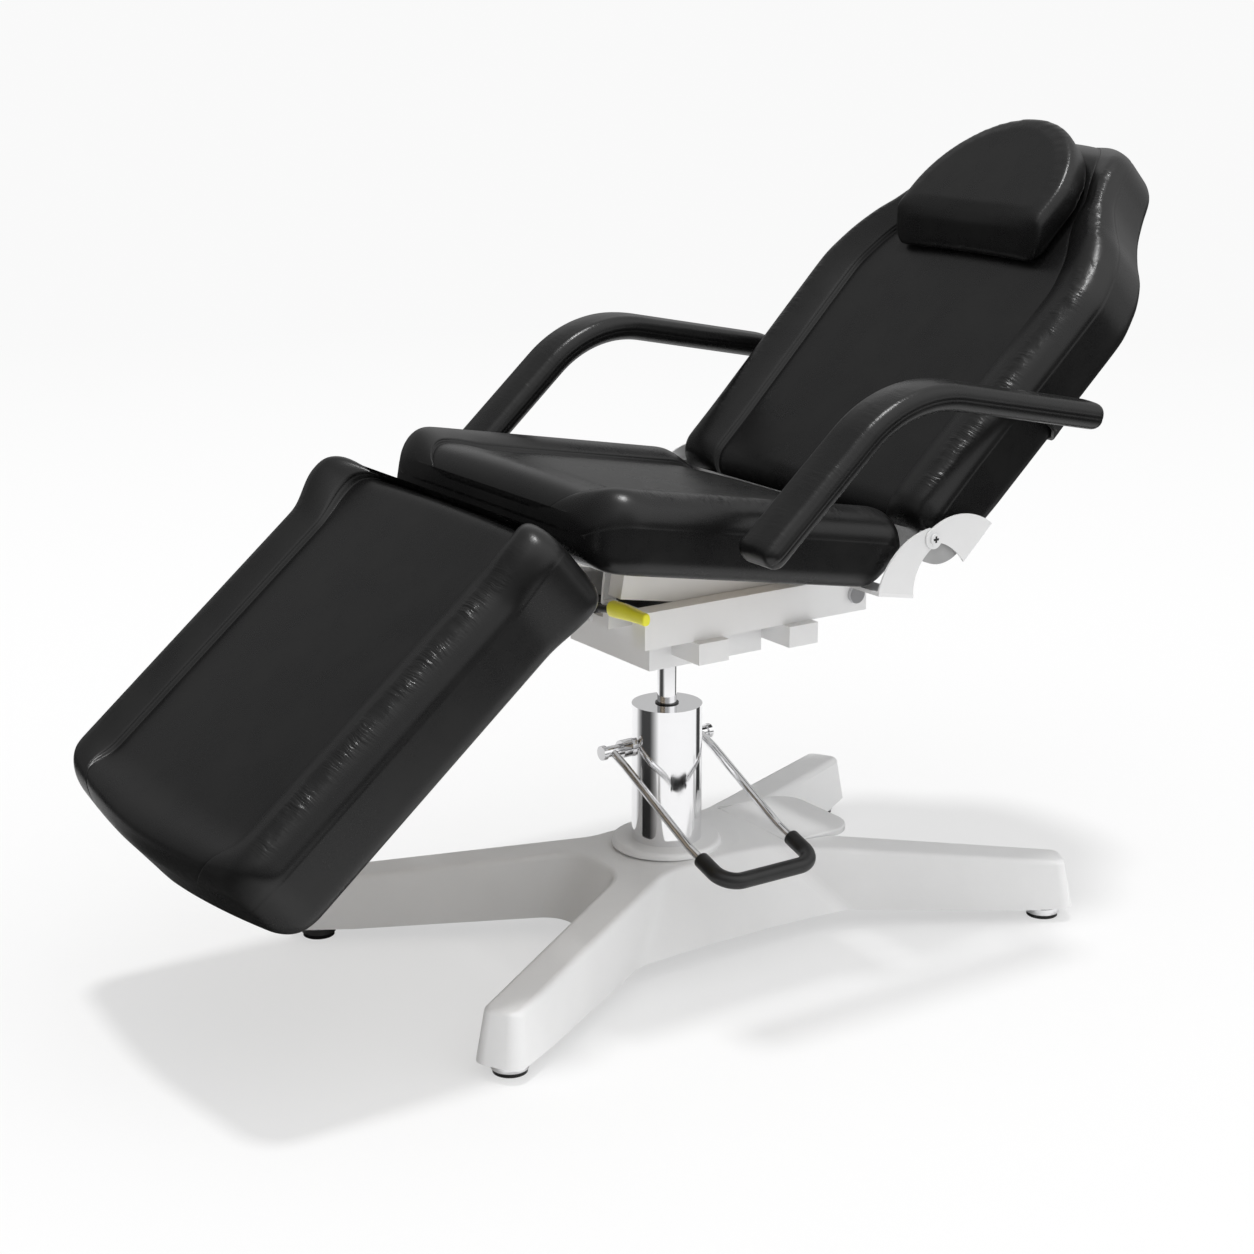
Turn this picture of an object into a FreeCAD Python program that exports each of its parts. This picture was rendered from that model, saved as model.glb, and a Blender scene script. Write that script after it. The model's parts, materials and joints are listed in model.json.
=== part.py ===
import FreeCAD, Part
import math
import os
import re
from FreeCAD import Placement, Rotation, Vector

# Hydraulic tattoo chair: a pumped column on a four-legged cast base carries a tilting seat,
# a leg rest, a reclining back with swing-up arms, and a half-moon head pillow.
# Millimetres. Origin on the floor under the cylinder. +X is the sitter's left, -Y the foot end.

SIZES = {
    # levelling feet
    "foot_half_x": 270, "foot_front_y": 434, "foot_rear_y": 500,
    "pad_radius": 23, "pad_height": 6, "ring_radius": 25, "ring_height": 9,
    "stud_radius": 10, "stud_gap": 6, "stud_depth": 14,
    # cast base
    "hub_top": 137, "leg_top": 95, "arch_height": 14,
    "leg_tip_half": 22, "leg_root_half": 33, "leg_draft": 14, "leg_end": 18, "leg_end_draft": 22,
    "web_side_top": 88, "web_side_bottom": 160, "web_end_top": 150, "web_end_bottom": 186,
    "web_radius": 55, "tip_radius": 14, "casting_edge": 9,
    "casting_wall": 14, "casting_top_wall": 7, "casting_roof": 42, "hollow_short": 84,
    # pump cylinder and piston
    "flange_radius": 80, "flange_height": 10, "flange_round": 6, "cylinder_radius": 51,
    "cylinder_top": 350,
    "cylinder_wall": 5, "cap_height": 12, "seal_radius": 17, "seal_height": 4, "seal_lip": 1.5,
    "rod_radius": 14, "rod_clearance": 0.08, "rod_inside": 120, "swivel_gap": 0.4,
    # pump pedal
    "pedal_shaft_x": 27, "pedal_shaft_z": 283, "pedal_shaft_radius": 8, "pedal_shaft_half": 89,
    "pedal_cap_radius": 10.5, "pedal_cap_length": 7, "bush_radius": 13, "bush_length": 12,
    "pedal_rod_radius": 6, "pedal_arm_half": 78, "pedal_knee_x": 35, "pedal_knee_drop": 13,
    "pedal_low_x": 195, "pedal_low_drop": 87, "pedal_bar_x": 279, "pedal_bar_drop": 113,
    "pedal_bend": 30, "pedal_grip_radius": 11.5, "pedal_grip_lap": 32,
    # release pedal behind the column
    "tongue_seam_y": 157, "tongue_length": 132, "tongue_half": 87, "tongue_thick": 9,
    "tongue_below_hub": 7, "tongue_swing": 16, "tongue_gap": 2.5, "tongue_corner": 44,
    "tongue_pin_radius": 3, "tongue_pin_length": 22, "tongue_pin_clearance": 0.05,
    # column head and lower frame
    "head_half_x": 100, "head_front": 100, "head_rear": 92, "head_bottom": 438, "head_height": 48,
    "tube_height": 30, "tube_width": 50, "tube_reach": 165, "tube_wall": 3,
    "tube_front_y": 63, "head_wall": 6, "boss_radius": 36, "cap_plug": 8,
    "bearing_radius": 24, "bearing_inset": 2, "bearing_height": 12, "bearing_clearance": 0.05,
    "rail_inner": 120, "rail_width": 30, "rail_height": 52, "rail_front": 142, "rail_rear": 241,
    "rail_wall": 3, "front_bar_height": 18, "front_bar_depth": 25, "front_bar_front": 116,
    "tray_thick": 3, "buffer_radius": 9, "buffer_height": 2.5,
    # tilt clamp and its hand lever
    "clamp_front": 158, "clamp_left": 28, "clamp_right": 86, "clamp_height": 14,
    "clamp_lug_width": 14, "clamp_lug_depth": 16,
    "quadrant_x": 41, "quadrant_thick": 5, "quadrant_radius": 350, "quadrant_width": 22,
    "quadrant_down": 1, "quadrant_gap": 0.3, "slot_clearance": 1,
    "lever_up": 31, "lever_pin": 4, "lever_hub": 7, "lever_hub_width": 10,
    "lever_gap": 9, "lever_stem": 5, "lever_rise": 6.5, "lever_grip_start": 105,
    "lever_grip_length": 112, "lever_grip_radius": 11, "lever_grip_lift": 3.4,
    # seat frame, tilted about its rear pivot
    "seat_angle": 10.5, "seat_pivot_y": 220, "seat_pivot_z": 512, "pivot_radius": 8,
    "pivot_head_radius": 13, "pivot_head": 6, "member_inner": 88, "member_width": 30,
    "member_drop": 28.5, "member_front": 381, "member_rear": 16,
    "seat_tube": 25, "bar_thick": 5,
    # seat cushion in the seat frame's own level axes
    "seat_underside": 31.5, "seat_front": 538, "seat_back_end": 30, "seat_set": 9,
    "seat_thick": 108, "panel_drop": 20, "panel_crown": 5, "bolster_width": 90,
    "bolster_outer": 36, "cushion_bottom_edge": 22, "seat_end_radius": 42, "seat_corner": 62,
    "facing_radius": 24,
    "board_thick": 12, "board_margin": 45, "seat_slant": 46, "bar_lap": 20, "bar_width": 62,
    # leg rest
    "leg_hinge_y": 539.5, "leg_hinge_up": 3.5, "leg_angle": 40, "leg_gap": 9, "leg_length": 600,
    "leg_underside": 30, "leg_thick": 126, "leg_corner": 76, "lug_clear": 1,
    "hinge_x": 150, "knuckle_radius": 8,
    "knuckle_pin": 4, "knuckle_width": 10, "ear_width": 7, "ear_gap": 0.5, "ear_height": 10,
    "pin_clearance": 0.05, "frame_tube": 25, "leg_tube_start": 32, "leg_tube_end": 470,
    # backrest
    "back_hinge_y": 223.4, "back_hinge_z": 623.1, "back_angle": 44, "back_underside": 78,
    "back_thick": 112, "back_bottom_edge": 14, "back_start": 13, "back_bar_set": 37,
    "back_length": 712, "back_half": 300,
    "plate_clear": 4, "plate_thick": 3, "plate_gap": 0.5, "disc_radius": 52, "disc_thick": 10,
    "disc_rear": 13, "disc_up": 16.5, "rivet_radius": 5, "rivet_head": 8, "rivet_head_height": 3,
    "back_tube_x": 130, "back_tube_short": 114, "horn_front": 80, "horn_rear": 18, "horn_hub": 14,
    "horn_back_near": 12, "horn_back_far": 81, "horn_back_low": 66,
    "back_bar_width": 27, "bar_clear": 1.2, "bar_lip": 18,
    # arms
    "arm_out": 31, "arm_width": 74, "arm_height": 37, "arm_foot_y": 125, "arm_foot_z": 652.5,
    "arm_rise": 41.5, "arm_fall": 11.5, "arm_end_y": 443.5, "arm_end_z": 780, "arm_bend": 184,
    "arm_edge": 12, "arm_end_edge": 11, "arm_core_radius": 8, "arm_pivot_back": 22,
    "arm_pin_radius": 6, "arm_boss_radius": 12, "arm_boss_in": 22, "bracket_clear": 16,
    "bracket_thick": 6, "bracket_width": 26, "bracket_low": 58, "bracket_gap": 0.5,
    "arm_bar_width": 30,
    # head pillow
    "pillow_start": 456, "pillow_length": 236, "pillow_half": 157, "pillow_thick": 49,
    "pillow_edge": 10, "pillow_lip": 4, "pillow_corner": 26, "pillow_gap": 1.5,
    # one overrun for every cut
    "overrun": 5,
}

doc = FreeCAD.newDocument("tattoo_chair")
sheet = doc.addObject("Spreadsheet::Sheet", "sizes")
for row, (name, value) in enumerate(SIZES.items(), start=1):
    sheet.set(f"A{row}", name)
    sheet.set(f"B{row}", str(value))
    sheet.setAlias(f"B{row}", name)
doc.recompute()

# Sizes that follow from others, as formulas of the sheet's names.
RULES = {
    "foot_top": "pad_height + ring_height + stud_gap",
    "casting_y": "(foot_rear_y - foot_front_y) / 2",
    "foot_half_y": "(foot_rear_y + foot_front_y) / 2",
    "foot_reach": "sqrt(foot_half_x ^ 2 + foot_half_y ^ 2)",
    "axis_x": "foot_half_x / foot_reach",
    "axis_y": "foot_half_y / foot_reach",
    "flange_top": "hub_top + flange_height",
    "head_top": "head_bottom + head_height",
    "rail_outer": "rail_inner + rail_width",
    "front_bar_top": "head_top + front_bar_height",
    "seat_half": "back_half - seat_set",
    "seat_cos": "cos(seat_angle)",
    "seat_sin": "sin(seat_angle)",
    "seat_length": "seat_front - seat_back_end",
    "leg_pivot_y": "seat_pivot_y - leg_hinge_y * seat_cos + leg_hinge_z * seat_sin",
    "leg_hinge_z": "seat_underside + leg_hinge_up",
    "leg_pivot_z": "seat_pivot_z + leg_hinge_y * seat_sin + leg_hinge_z * seat_cos",
    "tongue_top": "hub_top - tongue_below_hub",
    "tongue_bottom": "tongue_top - tongue_thick",
    "tongue_axis_y": "tongue_seam_y + tongue_thick / 2",
    "tongue_axis_z": "tongue_top - tongue_thick / 2",
    "bearing_top": "head_bottom + bearing_inset + bearing_height",
    "lever_x": "clamp_right - clamp_lug_width / 2",
    "lever_z": "front_bar_top + lever_up",
    "lever_axis_y": "-clamp_front - lever_gap - lever_hub_width / 2",
    "rear_bar_front": "seat_back_end + seat_slant + bar_lap",
    "ear_offset": "knuckle_width / 2 + ear_gap + ear_width / 2",
    "plate_in": "back_half + plate_clear",
    "plate_out": "plate_in + plate_thick + plate_gap",
    "disc_in": "plate_in - disc_thick",
    "hinge_on": "back_hinge_y - seat_pivot_y",
    "hinge_up": "back_hinge_z - seat_pivot_z",
    "back_in_seat_y": "hinge_on * seat_cos - hinge_up * seat_sin",
    "back_in_seat_z": "hinge_on * seat_sin + hinge_up * seat_cos",
    "seat_plate_rise": "back_in_seat_z - seat_underside",
    "arm_x": "back_half + arm_out + arm_width / 2",
    "bracket_out": "back_half + bracket_clear",
    "back_bar_near": "back_start + back_bar_set",
    "back_tube_end": "back_length - back_tube_short",
    "arm_pivot_y": "arm_end_y - arm_pivot_back * cos(arm_fall)",
    "arm_pivot_z": "arm_end_z + arm_pivot_back * sin(arm_fall)",
    "arm_on": "arm_pivot_y - back_hinge_y",
    "arm_up": "arm_pivot_z - back_hinge_z",
    "arm_in_back_y": "arm_on * cos(back_angle) + arm_up * sin(back_angle)",
    "arm_in_back_z": "arm_up * cos(back_angle) - arm_on * sin(back_angle)",
    "lug_in": "bracket_out - bracket_thick",
    "arm_bar_near": "arm_in_back_y - arm_bar_width / 2",
    "pillow_low": "back_thick - back_underside - panel_drop + panel_crown + pillow_gap",
}


def words(text):
    """The formula with every derived size written out in the sheet's own names."""
    def swap(match):
        word = match.group(0)
        if word in RULES:
            return "(" + words(RULES[word]) + ")"
        if word in SIZES:
            return "sizes." + word
        return word
    return re.sub(r"[A-Za-z_][A-Za-z_0-9]*", swap, str(text))


def val(text):
    """The value of a formula, in millimetres or degrees."""
    return float(sheet.evalExpression(words(text)))


def bind(thing, **formulas):
    for prop, text in formulas.items():
        thing.setExpression(prop.replace("__", "."), words(text))


# The tilted assemblies: each frame is a pivot and the angle of its own level axes.
FRAMES = {
    "level": None,
    "seat": ("seat_pivot_y", "seat_pivot_z", "-seat_angle"),
    "leg": ("leg_pivot_y", "leg_pivot_z", "leg_angle"),
    "back": ("back_hinge_y", "back_hinge_z", "back_angle"),
}


def place(thing, frame="level", x="0", y="0", z="0"):
    """Put a piece at x, y, z of a frame's own axes, bound to the sheet."""
    if FRAMES[frame] is None:
        bind(thing, Placement__Base__x=x, Placement__Base__y=y, Placement__Base__z=z)
        return thing
    pivot_y, pivot_z, angle = FRAMES[frame]
    thing.Placement = Placement(Vector(), Rotation(Vector(1, 0, 0), val(angle)))
    bind(thing, Placement__Rotation__Angle=angle, Placement__Base__x=x,
         Placement__Base__y=f"{pivot_y} + ({y}) * cos({angle}) - ({z}) * sin({angle})",
         Placement__Base__z=f"{pivot_z} + ({y}) * sin({angle}) + ({z}) * cos({angle})")
    return thing


NODES = []


def node(thing, label):
    """Name a finished piece: its label is its file."""
    thing.Label = label
    NODES.append(thing)
    return thing


def box(name, length, width, height, frame="level", x="0", y="0", z="0"):
    made = doc.addObject("Part::Box", name)
    bind(made, Length=length, Width=width, Height=height)
    return place(made, frame, x, y, z)


def rod(name, radius, height, x="0", y="0", z="0", axis="Z"):
    """A cylinder along X, Y or Z that starts at the given point."""
    made = doc.addObject("Part::Cylinder", name)
    turn = {"Z": Rotation(), "X": Rotation(Vector(0, 1, 0), 90), "Y": Rotation(Vector(1, 0, 0), -90)}
    made.Placement = Placement(Vector(), turn[axis])
    bind(made, Radius=radius, Height=height)
    bind(made, Placement__Base__x=x, Placement__Base__y=y, Placement__Base__z=z)
    return made


def cut(name, base, tool):
    made = doc.addObject("Part::Cut", name)
    made.Base = base
    made.Tool = tool
    return made


def fuse(name, *pieces):
    made = doc.addObject("Part::MultiFuse", name)
    made.Shapes = list(pieces)
    return made


def group(label, pieces):
    """Like pieces of one body, as one node of separate solids."""
    made = doc.addObject("Part::Compound", label)
    made.Links = pieces
    return node(made, label)


def feature(name, shape, frame="level", x="0", y="0", z="0"):
    """A piece whose outline neither a body nor a primitive fits."""
    made = doc.addObject("Part::Feature", name)
    made.Shape = shape
    return place(made, frame, x, y, z)


FEET = [(sx, sy) for sx in ("-", "") for sy in ("-foot_front_y", "foot_rear_y")]


def four(name, radius, height, z):
    """The same round piece under all four legs, as one node of four solids."""
    return group(name, [rod(f"{name}_{i}", radius, height, f"{sx}foot_half_x", sy, z)
                        for i, (sx, sy) in enumerate(FEET)])


def levelling_feet():
    four("foot_pads", "pad_radius", "pad_height", "0")
    four("foot_rings", "ring_radius", "ring_height", "pad_height")
    four("foot_studs", "stud_radius", "stud_gap + stud_depth", "pad_height + ring_height")


def leg_edge(reach, half, side):
    """A point beside a leg's axis, as formulas about the casting's middle."""
    return (f"(({reach}) * axis_x {side} ({half}) * axis_y)",
            f"(({reach}) * axis_y {'-' if side == '+' else '+'} ({half}) * axis_x)")


def casting_outline(tip, root, end, web_side, web_end):
    """The sixteen corners of the four-legged outline at one height."""
    slope = f"((({tip}) - ({root})) / foot_reach)"
    side_reach = f"(({web_side}) - ({root}) * axis_y) / (axis_x + {slope} * axis_y)"
    end_reach = f"(({web_end}) - ({root}) * axis_x) / (axis_y + {slope} * axis_x)"
    quarter = [leg_edge(side_reach, f"({root}) + {slope} * ({side_reach})", "+"),
               leg_edge(f"foot_reach + ({end})", tip, "+"),
               leg_edge(f"foot_reach + ({end})", tip, "-"),
               leg_edge(end_reach, f"({root}) + {slope} * ({end_reach})", "-")]
    ring = [(px, py) for px, py in quarter]
    ring += [(f"-{px}", py) for px, py in reversed(quarter)]
    ring += [(f"-{px}", f"-{py}") for px, py in quarter]
    ring += [(px, f"-{py}") for px, py in reversed(quarter)]
    return ring


def rounded(corners, height):
    """A closed wire through corners of (x, y, radius), every corner an arc."""
    count = len(corners)
    legs = []
    for i, (cx, cy, radius) in enumerate(corners):
        here = Vector(cx, cy, height)
        back = Vector(*corners[i - 1][:2], height) - here
        ahead = Vector(*corners[(i + 1) % count][:2], height) - here
        half = back.getAngle(ahead) / 2
        reach = radius / math.tan(half)
        start = here + back.normalize() * reach
        end = here + ahead.normalize() * reach
        middle = here + (back + ahead).normalize() * (radius / math.sin(half) - radius)
        legs.append((start, middle, end))
    edges = []
    for i, (start, middle, end) in enumerate(legs):
        edges.append(Part.Arc(start, middle, end).toShape())
        edges.append(Part.makeLine(end, legs[(i + 1) % count][0]))
    return Part.Wire(edges)


def casting_wire(tip, root, end, web_side, web_end, height, web_radius, tip_radius):
    corners = casting_outline(tip, root, end, web_side, web_end)
    radii = [web_radius, tip_radius, tip_radius, web_radius] * 4
    return rounded([(val(px), val(py), val(radius)) for (px, py), radius in zip(corners, radii)],
                   val(height))


def turned_ring(points):
    """A solid revolved about Z from radius and height pairs."""
    spots = [Vector(val(radius), 0, val(height)) for radius, height in points]
    face = Part.Face(Part.makePolygon(spots + spots[:1]))
    return face.revolve(Vector(), Vector(0, 0, 1), 360)


def casting_loft(wall, top_wall, roof, short):
    """The legs and webs between two heights, drawn in by the walls' thickness for the hollow."""
    return Part.makeLoft([
        casting_wire(f"leg_tip_half + leg_draft - {wall}", f"leg_root_half + leg_draft - {wall}",
                     f"leg_end + leg_end_draft - {short}", f"web_side_bottom - {wall}",
                     f"web_end_bottom - {wall}", "foot_top", f"web_radius + {wall}",
                     f"tip_radius + leg_draft / 2 - {top_wall}"),
        casting_wire(f"leg_tip_half - {top_wall}", f"leg_root_half - {top_wall}",
                     f"leg_end - {short}", f"web_side_top - {wall}", f"web_end_top - {wall}",
                     f"hub_top - {roof}", "web_radius", f"tip_radius - {top_wall}")], True, True)


def base_casting():
    """Drafted legs and webs, a sloping top, an arched underside, a hollow and the pedal's recess."""
    far = "foot_reach * 2"
    slope = "((hub_top - leg_top) / (foot_reach - flange_radius))"
    shed = turned_ring([("flange_radius", "hub_top"),
                        (far, f"hub_top - {slope} * ({far} - flange_radius)"),
                        (far, "hub_top + overrun"), ("flange_radius", "hub_top + overrun")])
    skin = casting_loft("0", "0", "0", "0").cut(shed)
    high = [e for e in skin.Edges
            if e.BoundBox.ZMin > val("leg_top - leg_draft") and e.Length > val("overrun")
            and math.hypot(e.CenterOfMass.x, e.CenterOfMass.y) > val("flange_radius / 2")]
    skin = skin.makeFillet(val("casting_edge"), high)
    arch = turned_ring([("0", "foot_top - overrun"), ("0", "foot_top + arch_height"),
                        ("web_side_bottom", "foot_top + arch_height"),
                        ("foot_reach - ring_radius * 2", "foot_top"),
                        ("foot_reach - ring_radius * 2", "foot_top - overrun")])
    hollow = casting_loft("casting_wall", "casting_top_wall", "casting_roof", "hollow_short")
    skin = skin.cut(arch).cut(hollow)
    for sx in (-1, 1):
        for sy in (-1, 1):
            spot = Vector(sx * val("foot_half_x"), sy * val("foot_half_y"), val("foot_top - overrun"))
            skin = skin.cut(Part.makeCylinder(val("stud_radius"), val("stud_depth + overrun"), spot))
    middle = Vector(0, -val("casting_y"), 0)
    recess = tongue_shape("tongue_gap", "tongue_bottom - tongue_swing", "hub_top + overrun")
    pins = tongue_pins("tongue_pin_radius + tongue_pin_clearance", "overrun")
    return skin.cut(recess.translated(middle)).cut(pins.translated(middle))


def tongue_shape(gap, low, high):
    """The pedal's D outline, grown by a gap, between two heights."""
    half = val(f"tongue_half + {gap}")
    front = val(f"tongue_seam_y - {gap}")
    rear = val(f"tongue_seam_y + tongue_length + {gap}")
    corner = val(f"tongue_corner + {gap}")
    small = val("tongue_thick / 4")
    wire = rounded([(half, front, small), (half, rear, corner), (-half, rear, corner),
                    (-half, front, small)], val(low))
    return Part.Face(wire).extrude(Vector(0, 0, val(f"{high} - ({low})")))


def tongue_pins(radius, extra):
    """The two hinge pins at the pedal's front corners, lengthened for their holes."""
    pins = []
    for side in (-1, 1):
        start = Vector(side * val("tongue_half - tongue_pin_length / 2"), val("tongue_axis_y"),
                       val("tongue_axis_z"))
        pins.append(Part.makeCylinder(val(radius), val(f"tongue_pin_length + {extra}"), start,
                                      Vector(side, 0, 0)))
    return pins[0].fuse(pins[1])


def release_pedal():
    plate = tongue_shape("0", "tongue_bottom", "tongue_top")
    top = [e for e in plate.Edges if e.BoundBox.ZMin > val("tongue_top") - val("tongue_gap") / 2]
    plate = plate.makeFillet(val("tongue_thick / 3"), top)
    node(feature("release_pedal", plate.cut(tongue_pins("tongue_pin_radius", "0"))), "release_pedal")
    node(feature("release_pedal_pins", tongue_pins("tongue_pin_radius", "0")), "release_pedal_pins")


def pump_cylinder():
    """Flange, tube with the pedal shaft's cross bore, cap and rod seal."""
    solid = rod("flange_disc", "flange_radius", "flange_height", z="hub_top")
    bore = rod("flange_bore", "cylinder_radius", "flange_height + overrun * 2", z="hub_top - overrun")
    ring = cut("flange_ring", solid, bore)
    doc.recompute()
    round_top = doc.addObject("Part::Fillet", "cylinder_flange")
    round_top.Base = ring
    outer = [i for i, e in enumerate(ring.Shape.Edges, start=1)
             if e.BoundBox.ZMin > val("flange_top - overrun")
             and e.BoundBox.XMax > val("cylinder_radius + overrun")]
    round_top.Edges = [(i, val("flange_round"), val("flange_round")) for i in outer]
    node(round_top, "cylinder_flange")

    tube_height = "cylinder_top - cap_height - hub_top"
    tube = rod("tube_outer", "cylinder_radius", tube_height, z="hub_top")
    inside = rod("tube_inner", "cylinder_radius - cylinder_wall", f"{tube_height} + overrun * 2",
                 z="hub_top - overrun")
    cross = rod("tube_cross", "pedal_shaft_radius + rod_clearance", "pedal_shaft_half * 2",
                "-pedal_shaft_x", "-pedal_shaft_half", "pedal_shaft_z", "Y")
    node(cut("cylinder_tube", cut("tube_hollow", tube, inside), cross), "cylinder_tube")

    disc = rod("cap_disc", "cylinder_radius", "cap_height", z="cylinder_top - cap_height")
    hole = rod("cap_hole", "rod_radius + rod_clearance", "cap_height + overrun * 2",
               z="cylinder_top - cap_height - overrun")
    seat = rod("cap_seat", "seal_radius", "seal_height + overrun", z="cylinder_top - seal_height")
    node(cut("cylinder_cap", cut("cap_bored", disc, hole), seat), "cylinder_cap")

    seal = rod("seal_disc", "seal_radius", "seal_height + seal_lip", z="cylinder_top - seal_height")
    seal_hole = rod("seal_hole", "rod_radius + rod_clearance", "cap_height + overrun * 2",
                    z="cylinder_top - cap_height")
    node(cut("rod_seal", seal, seal_hole), "rod_seal")

    bushes = []
    for side in (-1, 1):
        start = "0" if side > 0 else "-(cylinder_radius + bush_length)"
        outer = rod(f"bush_outer_{side}", "bush_radius", "cylinder_radius + bush_length",
                    "-pedal_shaft_x", start, "pedal_shaft_z", "Y")
        column = rod(f"bush_column_{side}", "cylinder_radius", "bush_radius * 4",
                     z="pedal_shaft_z - bush_radius * 2")
        through = rod(f"bush_bore_{side}", "pedal_shaft_radius + rod_clearance",
                      "pedal_shaft_half * 2", "-pedal_shaft_x", "-pedal_shaft_half",
                      "pedal_shaft_z", "Y")
        bushes.append(cut(f"bush_{side}", cut(f"bush_part_{side}", outer, column), through))
    group("pedal_bushes", bushes)


def piston():
    """The polished rod and the thrust bearing that the column head turns on."""
    low = "cylinder_top - rod_inside"
    shaft = rod("rod_bar", "rod_radius", f"bearing_top - ({low})", z=low)
    node(shaft, "piston_rod")
    ring = rod("bearing_disc", "bearing_radius", "bearing_height", z="bearing_top - bearing_height")
    hole = rod("bearing_hole", "rod_radius", "bearing_height + overrun * 2",
               z="bearing_top - bearing_height - overrun")
    node(cut("swivel_bearing", ring, hole), "swivel_bearing")


def bent(points, radii):
    """A smooth open wire through points, each inner corner an arc of its radius."""
    edges = []
    last = points[0]
    for here, ahead, radius in zip(points[1:-1], points[2:], radii):
        back = (last - here).normalize()
        on = (ahead - here).normalize()
        half = back.getAngle(on) / 2
        reach = radius / math.tan(half)
        start = here + back * reach
        end = here + on * reach
        middle = here + (back + on).normalize() * (radius / math.sin(half) - radius)
        edges.append(Part.makeLine(last, start))
        edges.append(Part.Arc(start, middle, end).toShape())
        last = end
    edges.append(Part.makeLine(last, points[-1]))
    return Part.Wire(edges)


def swept_round(wire, radius):
    """A round bar along a wire."""
    start = wire.OrderedEdges[0]
    first = start.valueAt(start.FirstParameter)
    along = start.tangentAt(start.FirstParameter)
    ring = Part.Wire(Part.makeCircle(radius, first, along))
    return wire.makePipeShell([ring], True, False)


def pump_pedal():
    shaft = rod("pedal_shaft_bar", "pedal_shaft_radius", "pedal_shaft_half * 2",
                "-pedal_shaft_x", "-pedal_shaft_half", "pedal_shaft_z", "Y")
    node(shaft, "pedal_shaft")
    caps = [rod(f"pedal_cap_{i}", "pedal_cap_radius", "pedal_cap_length", "-pedal_shaft_x", y,
                "pedal_shaft_z", "Y")
            for i, y in enumerate(("pedal_shaft_half", "-pedal_shaft_half - pedal_cap_length"))]
    group("pedal_end_caps", caps)

    arm = [("0", "0"), ("pedal_knee_x", "pedal_knee_drop"), ("pedal_low_x", "pedal_low_drop"),
           ("pedal_bar_x", "pedal_bar_drop")]
    half = val("pedal_arm_half")
    left = [Vector(val(x), -half, -val(drop)) for x, drop in arm]
    right = [Vector(p.x, half, p.z) for p in reversed(left)]
    bend = val("pedal_bend")
    path = bent(left + right, [bend] * (len(left) * 2 - 2))
    bar = swept_round(path, val("pedal_rod_radius"))
    hub = Part.makeCylinder(val("pedal_shaft_radius"), half * 4, Vector(0, -half * 2, 0),
                            Vector(0, 1, 0))
    bar = bar.cut(hub)
    corner_left, corner_right = left[-1], right[0]
    lap = val("pedal_grip_lap + pedal_bend")
    ends = [corner_left + (left[-2] - corner_left).normalize() * lap,
            corner_right + (right[1] - corner_right).normalize() * lap]
    grip_path = bent([ends[0], corner_left, corner_right, ends[1]], [bend, bend])
    grip = swept_round(grip_path, val("pedal_grip_radius"))
    rims = [e for e in grip.Edges if e.Closed and e.Curve.TypeId == "Part::GeomCircle"]
    grip = grip.makeFillet(val("pedal_rod_radius / 2"), rims).cut(bar)
    for name, shape in (("pedal_bar", bar), ("pedal_grip", grip)):
        node(feature(name, shape, x="-pedal_shaft_x", z="pedal_shaft_z"), name)


def column_head():
    """A hollow plate box on the piston: boss and bearing seat below, a slot for the front tube."""
    length = "head_front + head_rear"
    shell = box("head_shell", "head_half_x * 2", length, "head_height",
                x="-head_half_x", y="-head_front", z="head_bottom")
    hollow = box("head_hollow", "(head_half_x - head_wall) * 2", f"{length} - head_wall * 2",
                 "head_height - head_wall * 2", x="head_wall - head_half_x",
                 y="head_wall - head_front", z="head_bottom + head_wall")
    boss = rod("head_boss", "boss_radius", "head_height", z="head_bottom")
    body = fuse("head_body", cut("head_plates", shell, hollow), boss)
    slot = box("head_slot", "tube_reach * 2", "tube_width", "tube_height + overrun",
               x="-tube_reach", y="-tube_front_y", z="head_top - tube_height")
    seat = rod("head_seat", "bearing_radius + bearing_clearance",
               "bearing_inset + bearing_height + swivel_gap + overrun", z="head_bottom - overrun")
    node(cut("column_head", cut("head_slotted", body, slot), seat), "column_head")


def tube(name, length, width, height, wall, x, y, z, along):
    """A rectangular tube, open at both ends along X or Y."""
    outer = box(name + "_outer", length, width, height, x=x, y=y, z=z)
    if along == "X":
        inner = box(name + "_inner", f"{length} + overrun * 2", f"{width} - {wall} * 2",
                    f"{height} - {wall} * 2", x=f"{x} - overrun", y=f"{y} + {wall}", z=f"{z} + {wall}")
    else:
        inner = box(name + "_inner", f"{length} - {wall} * 2", f"{width} + overrun * 2",
                    f"{height} - {wall} * 2", x=f"{x} + {wall}", y=f"{y} - overrun", z=f"{z} + {wall}")
    return cut(name + "_tube", outer, inner)


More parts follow.
